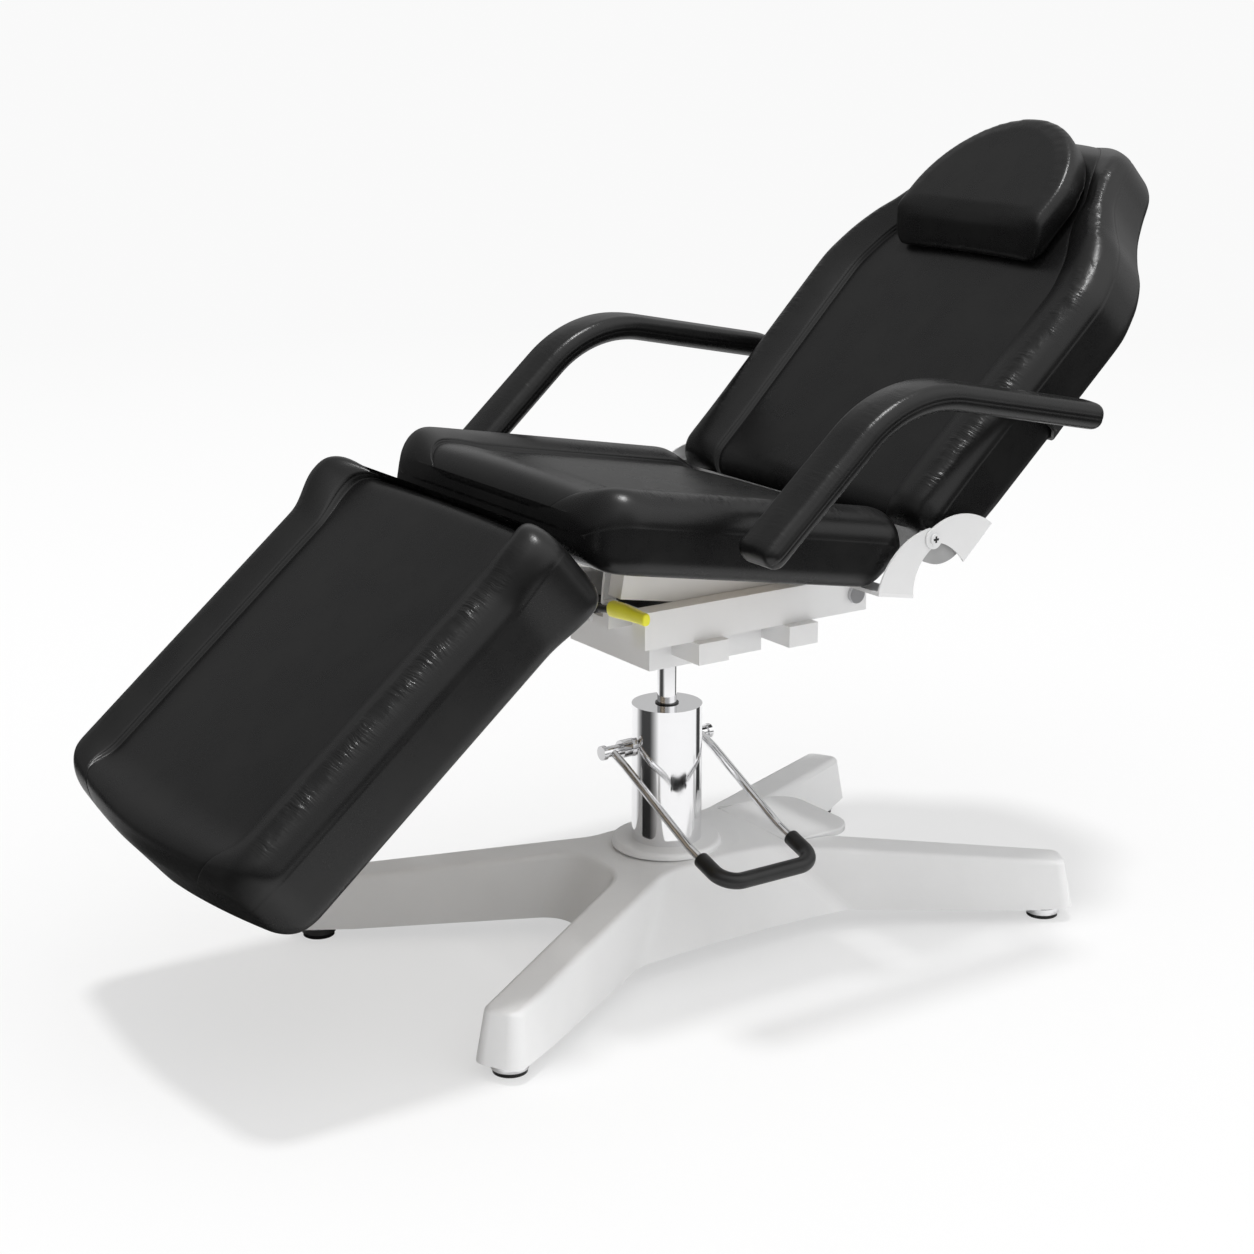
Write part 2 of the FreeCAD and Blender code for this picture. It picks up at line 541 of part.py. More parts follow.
def lower_frame():
    """Two cross tubes carry two side rails, all plugged at their ends."""
    group("cross_tubes", [
        tube(f"cross_{i}", "tube_reach * 2", "tube_width", "tube_height", "tube_wall",
             "-tube_reach", y, "head_top - tube_height", "X")
        for i, y in enumerate(("-tube_front_y", "head_rear"))])
    plugs = []
    for i, y in enumerate(("-tube_front_y", "head_rear")):
        for j, x in enumerate(("-tube_reach", "tube_reach - cap_plug")):
            plugs.append(box(f"tube_plug_{i}{j}", "cap_plug", "tube_width - tube_wall * 2",
                             "tube_height - tube_wall * 2", x=x, y=f"{y} + tube_wall",
                             z="head_top - tube_height + tube_wall"))
    rails = []
    for name, x in (("right", "-rail_outer"), ("left", "rail_inner")):
        made = tube("rail_" + name, "rail_width", "rail_front + rail_rear", "rail_height",
                    "rail_wall", x, "-rail_front", "head_top", "Y")
        bore = rod("rail_bore_" + name, "pivot_radius", "rail_width + overrun * 2",
                   f"{x} - overrun", "seat_pivot_y", "seat_pivot_z", "X")
        rails.append(cut("rail_bored_" + name, made, bore))
        for j, y in enumerate(("-rail_front", "rail_rear - cap_plug")):
            plugs.append(box(f"rail_plug_{name}_{j}", "rail_width - rail_wall * 2", "cap_plug",
                             "rail_height - rail_wall * 2", x=f"{x} + rail_wall", y=y,
                             z="head_top + rail_wall"))
    group("side_rails", rails)
    group("tube_plugs", plugs)

    node(box("front_bar", "rail_inner * 2", "front_bar_depth", "front_bar_height",
             x="-rail_inner", y="-front_bar_front", z="head_top"), "front_cross_bar")
    tray_y = "front_bar_depth - front_bar_front"
    node(box("tray", "rail_inner * 2", f"head_rear + tube_width - ({tray_y})", "tray_thick",
             x="-rail_inner", y=tray_y, z="head_top"), "mechanism_tray")
    buffers = [rod(f"buffer_{side}", "buffer_radius", "buffer_height",
                   f"{side}(member_inner + member_width / 2)",
                   "front_bar_depth / 2 - front_bar_front", "front_bar_top")
               for side in ("", "-")]
    group("stop_buffers", buffers)

    pins = []
    for name, side in (("left", 1), ("right", -1)):
        start = "member_inner" if side > 0 else "-rail_outer - pivot_head"
        pin = rod("pivot_pin_" + name, "pivot_radius", "rail_outer - member_inner",
                  "member_inner" if side > 0 else "-rail_outer", "seat_pivot_y", "seat_pivot_z", "X")
        head = rod("pivot_head_" + name, "pivot_head_radius", "pivot_head",
                   "rail_outer" if side > 0 else start, "seat_pivot_y", "seat_pivot_z", "X")
        pins.append(fuse("pivot_" + name, pin, head))
    group("seat_pivot_pins", pins)


def tilt_clamp():
    """The clamp that grips the seat's quadrant, with a lug for its yellow release lever."""
    depth = "clamp_front - front_bar_front + front_bar_depth"
    block = box("clamp_block", "clamp_right - clamp_left", depth, "clamp_height",
                x="clamp_left", y="-clamp_front", z="front_bar_top")
    lug = box("clamp_lug", "clamp_lug_width", "clamp_lug_depth", "lever_up + clamp_lug_width / 2",
              x="clamp_right - clamp_lug_width", y="-clamp_front", z="front_bar_top")
    slot = box("clamp_slot", "quadrant_thick + slot_clearance * 2",
               "clamp_front - front_bar_front + overrun", "clamp_height + overrun * 2",
               x="quadrant_x - slot_clearance", y="-clamp_front - overrun",
               z="front_bar_top - overrun")
    node(cut("clamp_cut", fuse("clamp_body", block, lug), slot), "tilt_clamp")
    pin_length = "lever_gap + lever_hub_width + lever_pin"
    node(rod("lever_pin_bar", "lever_pin", pin_length, "lever_x", f"-clamp_front - ({pin_length})",
             "lever_z", "Y"), "lever_pin")

    width = val("lever_hub_width")
    turn = Vector(0, 1, 0)
    hub = Part.makeCylinder(val("lever_hub"), width, Vector(0, -width / 2, 0), turn)
    bore = Part.makeCylinder(val("lever_pin + pin_clearance"), width * 2, Vector(0, -width, 0), turn)
    radius = val("lever_grip_radius")
    out = Vector(val("lever_grip_start - lever_x"), 0, val("lever_rise"))
    tip = out + Vector(val("lever_grip_length"), 0, val("lever_grip_lift"))
    axis = (tip - out).normalize()
    root = out + axis * radius * 2
    stem = hub.fuse(Part.makeCylinder(val("lever_stem"), root.Length, Vector(), root)).cut(bore)
    node(feature("lever_stem", stem, x="lever_x", y="lever_axis_y", z="lever_z"), "lever_stem")

    near = out + axis * radius
    paddle = Part.makeCylinder(radius, (tip - near).Length, near, axis)
    rim = [e for e in paddle.Edges if e.Closed and (e.CenterOfMass - tip).Length < radius / 2]
    paddle = paddle.makeFillet(radius / 4, rim).fuse(Part.makeSphere(radius, near))
    node(feature("lever_grip", paddle.removeSplitter().cut(stem), x="lever_x", y="lever_axis_y",
                 z="lever_z"), "lever_grip")


def seat_frame():
    """Two members between the rails, a front tube, a rear bar and the black quadrant."""
    members = []
    for name, side in (("left", 1), ("right", -1)):
        x = "member_inner" if side > 0 else "-member_inner - member_width"
        long = "member_front + member_rear"
        outer = box("member_outer_" + name, "member_width", long, "seat_underside + member_drop",
                    x=x, y="-member_front", z="-member_drop")
        inner = box("member_hollow_" + name, "member_width - rail_wall * 2",
                    f"{long} - rail_wall * 2", "seat_underside + member_drop - rail_wall * 2",
                    x=f"{x} + rail_wall", y="rail_wall - member_front", z="rail_wall - member_drop")
        notch = box("member_notch_" + name, "member_width + overrun * 2",
                    "bar_width", "bar_thick + overrun", x=f"{x} - overrun",
                    y="-rear_bar_front", z="seat_underside - bar_thick")
        bore = rod("member_bore_" + name, "pivot_radius + pin_clearance",
                   "member_width + overrun * 2", f"{x} - overrun", "0", "0", "X")
        made = cut("member_cut_" + name, cut("member_shell_" + name, outer, inner),
                   fuse("member_tools_" + name, notch, bore))
        members.append(place(made, "seat"))
    group("seat_members", members)
    node(box("front_tube", "member_inner * 2", "seat_tube", "seat_tube", "seat",
             "-member_inner", "-member_front", "seat_underside - seat_tube"), "seat_front_tube")
    node(box("rear_bar", "plate_in * 2 + plate_thick * 2", "bar_width", "bar_thick", "seat",
             "-plate_in - plate_thick", "-rear_bar_front", "seat_underside - bar_thick"),
         "seat_rear_bar")

    big = val("quadrant_radius + quadrant_width / 2")
    small = val("quadrant_radius - quadrant_width / 2")
    low = math.radians(val("seat_angle + quadrant_down"))
    high = val("seat_underside - quadrant_gap")
    tube_low = val("seat_underside - seat_tube")
    tube_rear = -val("member_front - seat_tube")

    def at(radius, angle):
        return Vector(0, -radius * math.cos(angle), -radius * math.sin(angle))

    def arc(radius, top):
        """From the quadrant's foot up to a height on the seat's own level axes."""
        rise = -math.asin(top / radius)
        return at(radius, low), at(radius, (rise + low) / 2), at(radius, rise)

    outer = arc(big, tube_low)
    inner = arc(small, high)
    corners = [inner[2], Vector(0, tube_rear, high), Vector(0, tube_rear, tube_low), outer[2]]
    edges = [Part.Arc(*outer).toShape(), Part.Arc(*inner).toShape(),
             Part.makeLine(outer[0], inner[0])]
    edges += [Part.makeLine(a, b) for a, b in zip(corners, corners[1:])]
    outline = Part.Wire(Part.sortEdges(edges)[0])
    plate = Part.Face(outline).extrude(Vector(val("quadrant_thick"), 0, 0))
    node(feature("quadrant", plate, "seat", x="quadrant_x"), "tilt_quadrant")


def section(y, half, thick, drop, bolster, outer, corner, crown):
    """One closed slice of a cushion across its width, flat below, bolsters at both sides."""
    seam = thick - drop
    crest = half - outer
    inner = half - bolster
    rise = max(drop, val("pin_clearance"))
    sweep = ((bolster - outer) ** 2 + rise ** 2) / (2 * rise)
    turn = math.asin((bolster - outer) / sweep) / 2

    def side(sign):
        bend = corner * math.sqrt(0.5)
        curve = outer * math.sqrt(0.5)
        return [
            Vector(sign * (half - corner), y, 0),
            Vector(sign * (half - corner + bend), y, corner - bend),
            Vector(sign * half, y, corner),
            Vector(sign * half, y, thick - outer),
            Vector(sign * (crest + curve), y, thick - outer + curve),
            Vector(sign * crest, y, thick),
            Vector(sign * (crest - sweep * math.sin(turn)), y, thick - sweep * (1 - math.cos(turn))),
            Vector(sign * inner, y, seam)]

    a, b = side(1), side(-1)
    panel = Part.Arc(a[7], Vector(0, y, seam + crown), b[7]).toShape()
    edges = [Part.makeLine(b[0], a[0]), Part.Arc(a[0], a[1], a[2]).toShape(),
             Part.makeLine(a[2], a[3]), Part.Arc(a[3], a[4], a[5]).toShape(),
             Part.Arc(a[5], a[6], a[7]).toShape(), panel,
             Part.Arc(b[7], b[6], b[5]).toShape(), Part.Arc(b[5], b[4], b[3]).toShape(),
             Part.makeLine(b[3], b[2]), Part.Arc(b[2], b[1], b[0]).toShape()]
    return Part.Wire(edges)


def ease(distance, radius):
    """How far a rounded end is drawn in at a distance from its tip."""
    if distance >= radius:
        return 0.0
    return radius - math.sqrt(radius ** 2 - (radius - distance) ** 2)


END_SHARES = (0.0, 0.06, 0.22, 0.5, 0.78, 1.0, 1.25, 1.7)


def cushion(length, half, thick, corners, ends, drop_at):
    """A loft from y = 0 to y = length with rounded ends and bolsters of changing depth."""
    spots = [share * max(corners[0], ends[0]) for share in END_SHARES]
    spots += [length - share * max(corners[1], ends[1]) for share in reversed(END_SHARES)]
    slices = []
    for y in spots:
        pull = ease(y, corners[0]) + ease(length - y, corners[1])
        sink = ease(y, ends[0]) + ease(length - y, ends[1])
        tall = (thick - sink) / thick
        slices.append(section(
            y, half - pull, thick - sink, val("panel_drop") * drop_at(y) * tall,
            val("bolster_width"), val("bolster_outer") * tall, val("cushion_bottom_edge") * tall,
            val("panel_crown")))
    return Part.makeLoft(slices, True, False)


def under_edge(half, radius, end, side):
    """What a rounded lower edge across a cushion's end leaves out; side is +1 toward +Y."""
    over = val("overrun")
    bend = radius * (1 - math.sqrt(0.5))

    def spot(y, z):
        return Vector(-half * 2, end + side * y, z)

    edges = [Part.makeLine(spot(-over, -over), spot(radius, -over)),
             Part.makeLine(spot(radius, -over), spot(radius, 0)),
             Part.Arc(spot(radius, 0), spot(bend, bend), spot(0, radius)).toShape(),
             Part.makeLine(spot(0, radius), spot(-over, radius)),
             Part.makeLine(spot(-over, radius), spot(-over, -over))]
    return Part.Face(Part.Wire(edges)).extrude(Vector(half * 4, 0, 0))


def base_board(length, half, low):
    """A plywood board let into the cushion's underside."""
    margin = val("board_margin")
    return Part.makeBox((half - margin) * 2, length - margin * 2, val("board_thick"),
                        Vector(margin - half, margin, low))


def padded(name, shape, board, frame, y, z):
    """A cushion with its board: the foam is cut to take it."""
    node(feature(name + "_board", board, frame, y=y, z=z), name + "_board")
    node(feature(name + "_cushion", shape.cut(board), frame, y=y, z=z), name + "_cushion")


# How far the seat's panel has dropped at distances from its front, in shares of the corner.
SEAT_DROP_SHARES = ((0.7, 0.25), (1.2, 0.6))


def seat_cushion():
    length = val("seat_length")
    half = val("seat_half")
    corner = val("seat_corner")

    def drop_at(y):
        """The panel's drop near the seat's front nose, as a share of the full drop."""
        return next((drop for along, drop in SEAT_DROP_SHARES if y < corner * along), 1)

    shape = cushion(length, half, val("seat_thick"), (corner, val("seat_end_radius")),
                    (val("seat_end_radius"), val("seat_end_radius")), drop_at)
    slant = Part.Face(Part.makePolygon([
        Vector(-half * 2, length - val("seat_slant"), -val("overrun")),
        Vector(-half * 2, length + val("overrun"), -val("overrun")),
        Vector(-half * 2, length + val("overrun"), val("seat_thick - seat_end_radius")),
        Vector(-half * 2, length, val("seat_thick - seat_end_radius")),
        Vector(-half * 2, length - val("seat_slant"), -val("overrun"))]))
    shape = shape.cut(slant.extrude(Vector(half * 4, 0, 0)))
    shape = shape.cut(under_edge(half, val("facing_radius"), 0, 1))
    board = base_board(length - val("seat_slant"), half, 0)
    padded("seat", shape, board, "seat", "-seat_front", "seat_underside")


def leg_rest():
    length = val("leg_length - leg_gap")
    half = val("seat_half")
    facing = val("facing_radius")
    shape = cushion(length, half, val("leg_thick"), (val("leg_corner"), facing),
                    (val("seat_end_radius"), facing), lambda y: 1.0)
    shape = shape.cut(under_edge(half, facing, length, -1))
    padded("leg_rest", shape, base_board(length, half, 0), "leg", "-leg_length", "-leg_underside")
    low = "-leg_underside - frame_tube"
    group("leg_side_tubes", [
        box(f"leg_tube_{i}", "frame_tube", "leg_tube_end - leg_tube_start", "frame_tube", "leg",
            f"{side}hinge_x - frame_tube / 2", "-leg_tube_end", low)
        for i, side in enumerate(("", "-"))])
    group("leg_cross_tubes", [
        box(f"leg_cross_{i}", "hinge_x * 2 - frame_tube", "frame_tube", "frame_tube", "leg",
            "frame_tube / 2 - hinge_x", y, low)
        for i, y in enumerate(("-leg_tube_start - frame_tube * 2", "-leg_tube_end"))])


def ring_plate(width, outer, inner, middle, reach_points):
    """A hinge ear across X: a ring about the pin joined to a flat arm."""
    x = -width / 2
    arm = Part.Face(Part.makePolygon([Vector(x, y, z) for y, z in reach_points + reach_points[:1]]))
    arm = arm.extrude(Vector(width, 0, 0))
    ring = Part.makeCylinder(outer, width, Vector(x, *middle), Vector(1, 0, 0))
    bore = Part.makeCylinder(inner, width * 3, Vector(x - width, *middle), Vector(1, 0, 0))
    return ring.fuse(arm).cut(bore)


def leg_hinges():
    """Ears on the seat either side of a knuckle on the leg rest, on one pin each side."""
    knuckle_r = val("knuckle_radius")
    width = val("knuckle_width")
    tube_low = val("-leg_underside - frame_tube")
    under = -val("leg_underside")
    start = -val("leg_tube_start")
    round_off = val("facing_radius + lug_clear") * math.sqrt(2)
    shoulder = round_off - val("leg_gap + facing_radius * 2")
    lug = [(start, tube_low), (start, under), (shoulder, under), (0, -knuckle_r), (knuckle_r, 0),
           (-knuckle_r / 2, tube_low)]
    hinge_z = val("leg_hinge_z")
    hinge_y = -val("leg_hinge_y")
    top = val("seat_underside")
    low = top - val("ear_height")
    front = -val("member_front")
    ear = [(front, low), (front, top), (hinge_y + knuckle_r, top), (hinge_y, hinge_z - knuckle_r / 2),
           (hinge_y, low + knuckle_r / 2), (hinge_y + knuckle_r, low)]
    ends = (-val("hinge_x"), val("hinge_x"))
    knuckle = ring_plate(width, knuckle_r, val("knuckle_pin + pin_clearance"), (0, 0), lug)
    plate = ring_plate(val("ear_width"), knuckle_r, val("knuckle_pin"), (hinge_y, hinge_z), ear)
    reach = val("ear_offset + ear_width / 2")
    pin = Part.makeCylinder(val("knuckle_pin"), reach * 2, Vector(-reach, hinge_y, hinge_z),
                            Vector(1, 0, 0))
    offset = val("ear_offset")
    for label, frame, shapes in (
            ("leg_knuckles", "leg", [knuckle.translated(Vector(x, 0, 0)) for x in ends]),
            ("leg_hinge_ears", "seat", [plate.translated(Vector(x + side, 0, 0))
                                        for x in ends for side in (-offset, offset)]),
            ("leg_hinge_pins", "seat", [pin.translated(Vector(x, 0, 0)) for x in ends])):
        node(feature(label, Part.makeCompound(shapes), frame), label)


def horn(outer, inner, x, thick):
    """A curved hinge plate between two arcs, each through three points of Y and Z."""
    a = [Vector(x, y, z) for y, z in outer]
    b = [Vector(x, y, z) for y, z in inner]
    edges = [Part.Arc(*a).toShape(), Part.makeLine(a[2], b[2]), Part.Arc(*reversed(b)).toShape(),
             Part.makeLine(b[0], a[0])]
    return Part.Face(Part.Wire(edges)).extrude(Vector(thick, 0, 0))


# The hinge horns' arcs, as shares of each horn's reach along the frame and of its height.
SEAT_HORN_OUTER_SHARES = ((-1.00, -1.00), (-0.62, -0.15), (-0.08, 0.178))
SEAT_HORN_INNER_SHARES = ((-1.00, -1.00), (-0.83, -0.48), (0.10, -0.170))
BACK_HORN_OUTER_SHARES = ((1.00, -1.00), (0.67, -0.19), (0.05, 0.206))
BACK_HORN_INNER_SHARES = ((1.00, -1.00), (1.05, -0.66), (0.30, -0.200))


def back_hinges():
    """White horn plates outside the cushions, a round ratchet housing and a rivet each side."""
    thick = val("plate_thick")
    rise = val("seat_plate_rise")
    hub = val("horn_hub")
    low = val("horn_back_low")
    turn = Vector(1, 0, 0)

    def spots(shares, reach, height):
        """Points of a horn's arc as shares of its reach along Y and its height."""
        return [(along * reach, up * height) for along, up in shares]

    def pair(outer, inner, near, bore):
        """The same plate outside each end of the cushions."""
        made = []
        for x in (near, -near - thick):
            disc = Part.makeCylinder(hub, thick, Vector(x, 0, 0), turn)
            hole = Part.makeCylinder(bore, thick * 3, Vector(x - thick, 0, 0), turn)
            made.append(horn(outer, inner, x, thick).fuse(disc).cut(hole))
        return Part.makeCompound(made)

    seat_outer = spots(SEAT_HORN_OUTER_SHARES, val("horn_front"), rise)
    seat_inner = spots(SEAT_HORN_INNER_SHARES, val("horn_rear"), rise)
    back_outer = spots(BACK_HORN_OUTER_SHARES, val("horn_back_far"), low)
    back_inner = spots(BACK_HORN_INNER_SHARES, val("horn_back_near"), low)
    node(feature("seat_plates", pair(seat_outer, seat_inner, val("plate_in"), val("rivet_radius")),
                 "seat", y="back_in_seat_y", z="back_in_seat_z"), "seat_hinge_plates")
    node(feature("back_plates", pair(back_outer, back_inner, val("plate_out"),
                                     val("rivet_radius + pin_clearance")), "back"),
         "back_hinge_plates")
    discs = []
    rivets = []
    reach = "plate_out + plate_thick + plate_gap - disc_in"
    for name, side in (("left", 1), ("right", -1)):
        inner_x = "disc_in" if side > 0 else "-disc_in - disc_thick"
        disc = rod("disc_bar_" + name, "disc_radius", "disc_thick", inner_x, "disc_rear",
                   "disc_up", "X")
        tool = rod("disc_bore_" + name, "rivet_radius", "disc_thick * 3",
                   f"{inner_x} - disc_thick", "0", "0", "X")
        above = box("disc_above_" + name, "disc_thick + overrun * 2", "disc_radius * 4",
                    "disc_radius * 2", x=f"{inner_x} - overrun", y="-disc_radius * 2",
                    z="rivet_head")
        ahead = box("disc_ahead_" + name, "disc_thick + overrun * 2", "disc_radius * 2 - horn_hub",
                    "disc_radius * 2", x=f"{inner_x} - overrun", y="-disc_radius * 2",
                    z="-rivet_radius")
        discs.append(cut("disc_" + name, disc, fuse("disc_tools_" + name, tool, above, ahead)))
        shank_x = "disc_in" if side > 0 else f"-disc_in - ({reach})"
        shank = rod("rivet_shank_" + name, "rivet_radius", reach, shank_x, "0", "0", "X")
        head_x = f"disc_in + {reach}" if side > 0 else f"-disc_in - ({reach}) - rivet_head_height"
        head = rod("rivet_head_" + name, "rivet_head", "rivet_head_height", head_x, "0", "0", "X")
        rivets.append(fuse("rivet_" + name, shank, head))
    for piece in discs + rivets:
        place(piece, "seat", y="back_in_seat_y", z="back_in_seat_z")
    group("ratchet_housings", discs)
    group("hinge_rivets", rivets)


# The back's outline from the hinge to the crown of the head, as shares: of its length, its half
# width, its thickness, its panel's drop and its bolsters' width.
BACK_SHARES = (
    (0.000, 0.880, 0.62, 0.50, 1.00), (0.006, 0.915, 0.72, 0.70, 1.00),
    (0.025, 0.945, 0.88, 1.00, 1.00), (0.055, 0.965, 1.00, 1.00, 1.00),
    (0.110, 0.970, 1.00, 1.00, 1.00), (0.260, 0.980, 1.00, 1.00, 1.00),
    (0.480, 1.000, 1.00, 1.00, 1.00), (0.560, 1.005, 1.00, 1.00, 1.00),
    (0.635, 0.965, 1.00, 1.00, 1.00), (0.704, 0.880, 1.00, 1.00, 1.00),
    (0.756, 0.770, 1.00, 1.00, 0.80), (0.809, 0.677, 0.98, 0.90, 0.58),
    (0.864, 0.610, 0.95, 0.70, 0.58), (0.921, 0.550, 0.86, 0.25, 0.60),
    (0.951, 0.485, 0.76, 0.15, 0.60), (0.972, 0.400, 0.66, 0.10, 0.55),
    (0.987, 0.300, 0.56, 0.10, 0.45), (0.996, 0.200, 0.48, 0.10, 0.30),
    (1.000, 0.140, 0.42, 0.10, 0.20))
BOLSTER_ROUND_SHARE = 0.45
# Where the back's board narrows, of the length, and its narrow half, of the half width.
BOARD_NECK_SHARE = 0.6
BOARD_NARROW_SHARE = 0.45


def back_side(along):
    """The back cushion's half width at a distance from the hinge along the back."""
    share = (along - val("back_start")) / val("back_length")
    pairs = zip(BACK_SHARES, BACK_SHARES[1:])
    low, high = next(pair for pair in pairs if pair[1][0] >= share)
    blend = (share - low[0]) / (high[0] - low[0])
    return val("back_half") * (low[1] + (high[1] - low[1]) * blend)


def bent_bar(out, foot, near, width):
    """A flat bar under the back: its ends bend up round the cushion to a given side and foot."""
    thick = val("bar_thick")
    edge = val("back_bottom_edge")
    middle = back_side(val(f"{near} + {width}")) - edge
    level = edge - val("back_underside")
    heel = -val(foot)
    side = val(out)

    def bend(radius, drop):
        """Two points round the cushion's lower edge: where it leaves the flat, and halfway."""
        slant = radius * math.sqrt(0.5)
        return [(middle + math.sqrt(radius ** 2 - drop ** 2), level - drop),
                (middle + slant, level - slant)]

    near_side = edge + val("bar_clear")
    inner = bend(near_side, edge) + [(side - thick / 2, heel + thick / 2)]
    outer = bend(near_side + thick, edge + thick) + [(side, heel)]
    top = heel + val("bar_lip")
    half = outer + [(side, top), (side - thick / 2, top)] + inner[::-1]
    ring = half + [(-x, z) for x, z in reversed(half)]
    face = Part.Face(Part.makePolygon([Vector(x, 0, z) for x, z in ring + ring[:1]]))
    return face.extrude(Vector(0, val(width), 0))


def back_rest():
    length = val("back_length")
    half = val("back_half")
    thick = val("back_thick")
    slices = []
    for along, wide, tall, deep, broad in BACK_SHARES:
        room = half * wide
        bolster = val("bolster_width") * broad
        outer = min(val("bolster_outer") * tall, bolster * BOLSTER_ROUND_SHARE)
        slices.append(section(along * length, room, thick * tall, val("panel_drop") * deep,
                              bolster, outer, min(val("back_bottom_edge"), thick * tall / 4),
                              val("panel_crown")))
    shape = Part.makeLoft(slices, True, False)
    margin = val("board_margin")
    neck = length * BOARD_NECK_SHARE
    narrow = half * BOARD_NARROW_SHARE
    corners = [(half - margin, margin), (half - margin, neck), (narrow, neck + margin * 2),
               (narrow, length - margin * 2), (-narrow, length - margin * 2),
               (-narrow, neck + margin * 2), (margin - half, neck), (margin - half, margin)]
    board = Part.Face(Part.makePolygon([Vector(x, y, 0) for x, y in corners + corners[:1]]))
    board = board.extrude(Vector(0, 0, val("board_thick")))
    padded("back", shape, board, "back", "back_start", "-back_underside")

    low = "-back_underside - frame_tube"
    tubes = []
    for name, side in (("left", ""), ("right", "-")):
        x = f"{side}back_tube_x - frame_tube / 2"
        outer = box("back_tube_" + name, "frame_tube", "back_tube_end - back_bar_near",
                    "frame_tube", x=x, y="back_bar_near", z=low)
        notches = [box(f"back_tube_notch_{name}_{i}", "frame_tube + overrun * 2", wide,
                       "bar_thick + overrun", x=f"{x} - overrun", y=near,
                       z="-back_underside - bar_thick")
                   for i, (near, wide) in enumerate((("back_bar_near", "back_bar_width"),
                                                     ("arm_bar_near", "arm_bar_width")))]
        made = cut("back_tube_cut_" + name, outer, fuse("back_tube_tools_" + name, *notches))
        tubes.append(place(made, "back"))
    group("back_side_tubes", tubes)
    lower = bent_bar("plate_out", "horn_back_low", "back_bar_near", "back_bar_width")
    node(feature("back_bar", lower, "back", y="back_bar_near"), "back_lower_bar")
    node(box("back_top_tube", "back_tube_x * 2 - frame_tube", "frame_tube", "frame_tube", "back",
             "frame_tube / 2 - back_tube_x", "back_tube_end - frame_tube", low), "back_top_tube")
    upper = bent_bar("lug_in", "bracket_low", "arm_bar_near", "arm_bar_width")
    node(feature("arm_bar", upper, "back", y="arm_bar_near"), "arm_cross_bar")


def arm_brackets():
    """Black lugs on the cross bar's ends, each with the pin that its arm swings on."""
    turn = Vector(1, 0, 0)
    thick = val("bracket_thick")
    half = val("bracket_width") / 2
    low = val("-bracket_low - arm_in_back_z")
    reach = val("arm_x - arm_width / 2 + arm_boss_in - bracket_out")
    lugs = []
    pins = []
    for side in (-1, 1):
        x = side * val("bracket_out") - (thick if side > 0 else 0)
        corners = [(-half, low), (half, low), (half, 0), (-half, 0)]
        flat = Part.Face(Part.makePolygon([Vector(x, y, z) for y, z in corners + corners[:1]]))
        lug = flat.extrude(turn * thick).fuse(Part.makeCylinder(half, thick, Vector(x, 0, 0), turn))
        hole = Part.makeCylinder(val("arm_pin_radius"), thick * 3, Vector(x - thick, 0, 0), turn)
        lugs.append(lug.removeSplitter().cut(hole))
        start = Vector(side * (val("bracket_out") - thick), 0, 0)
        pins.append(Part.makeCylinder(val("arm_pin_radius"), thick + reach, start, turn * side))
    for label, shapes in (("arm_brackets", lugs), ("arm_pivot_pins", pins)):
        node(feature(label, Part.makeCompound(shapes), "back", y="arm_in_back_y",
                     z="arm_in_back_z"), label)


# Two unit directions whose product is above this are taken as parallel, below the next as square.
PARALLEL = 0.999
SQUARE = 0.1


def arm_path():
    """The arm's centre line in the plane of its own X, from the free end to the rear."""
    start = Vector(0, -val("arm_foot_y"), val("arm_foot_z"))
    end = Vector(0, val("arm_end_y"), val("arm_end_z"))
    up = math.tan(math.radians(val("arm_rise")))
    down = math.tan(math.radians(val("arm_fall")))
    corner_y = (end.z + down * end.y - start.z + up * start.y) / (up + down)
    corner = Vector(0, corner_y, start.z + up * (corner_y - start.y))
    return [start, corner, end]


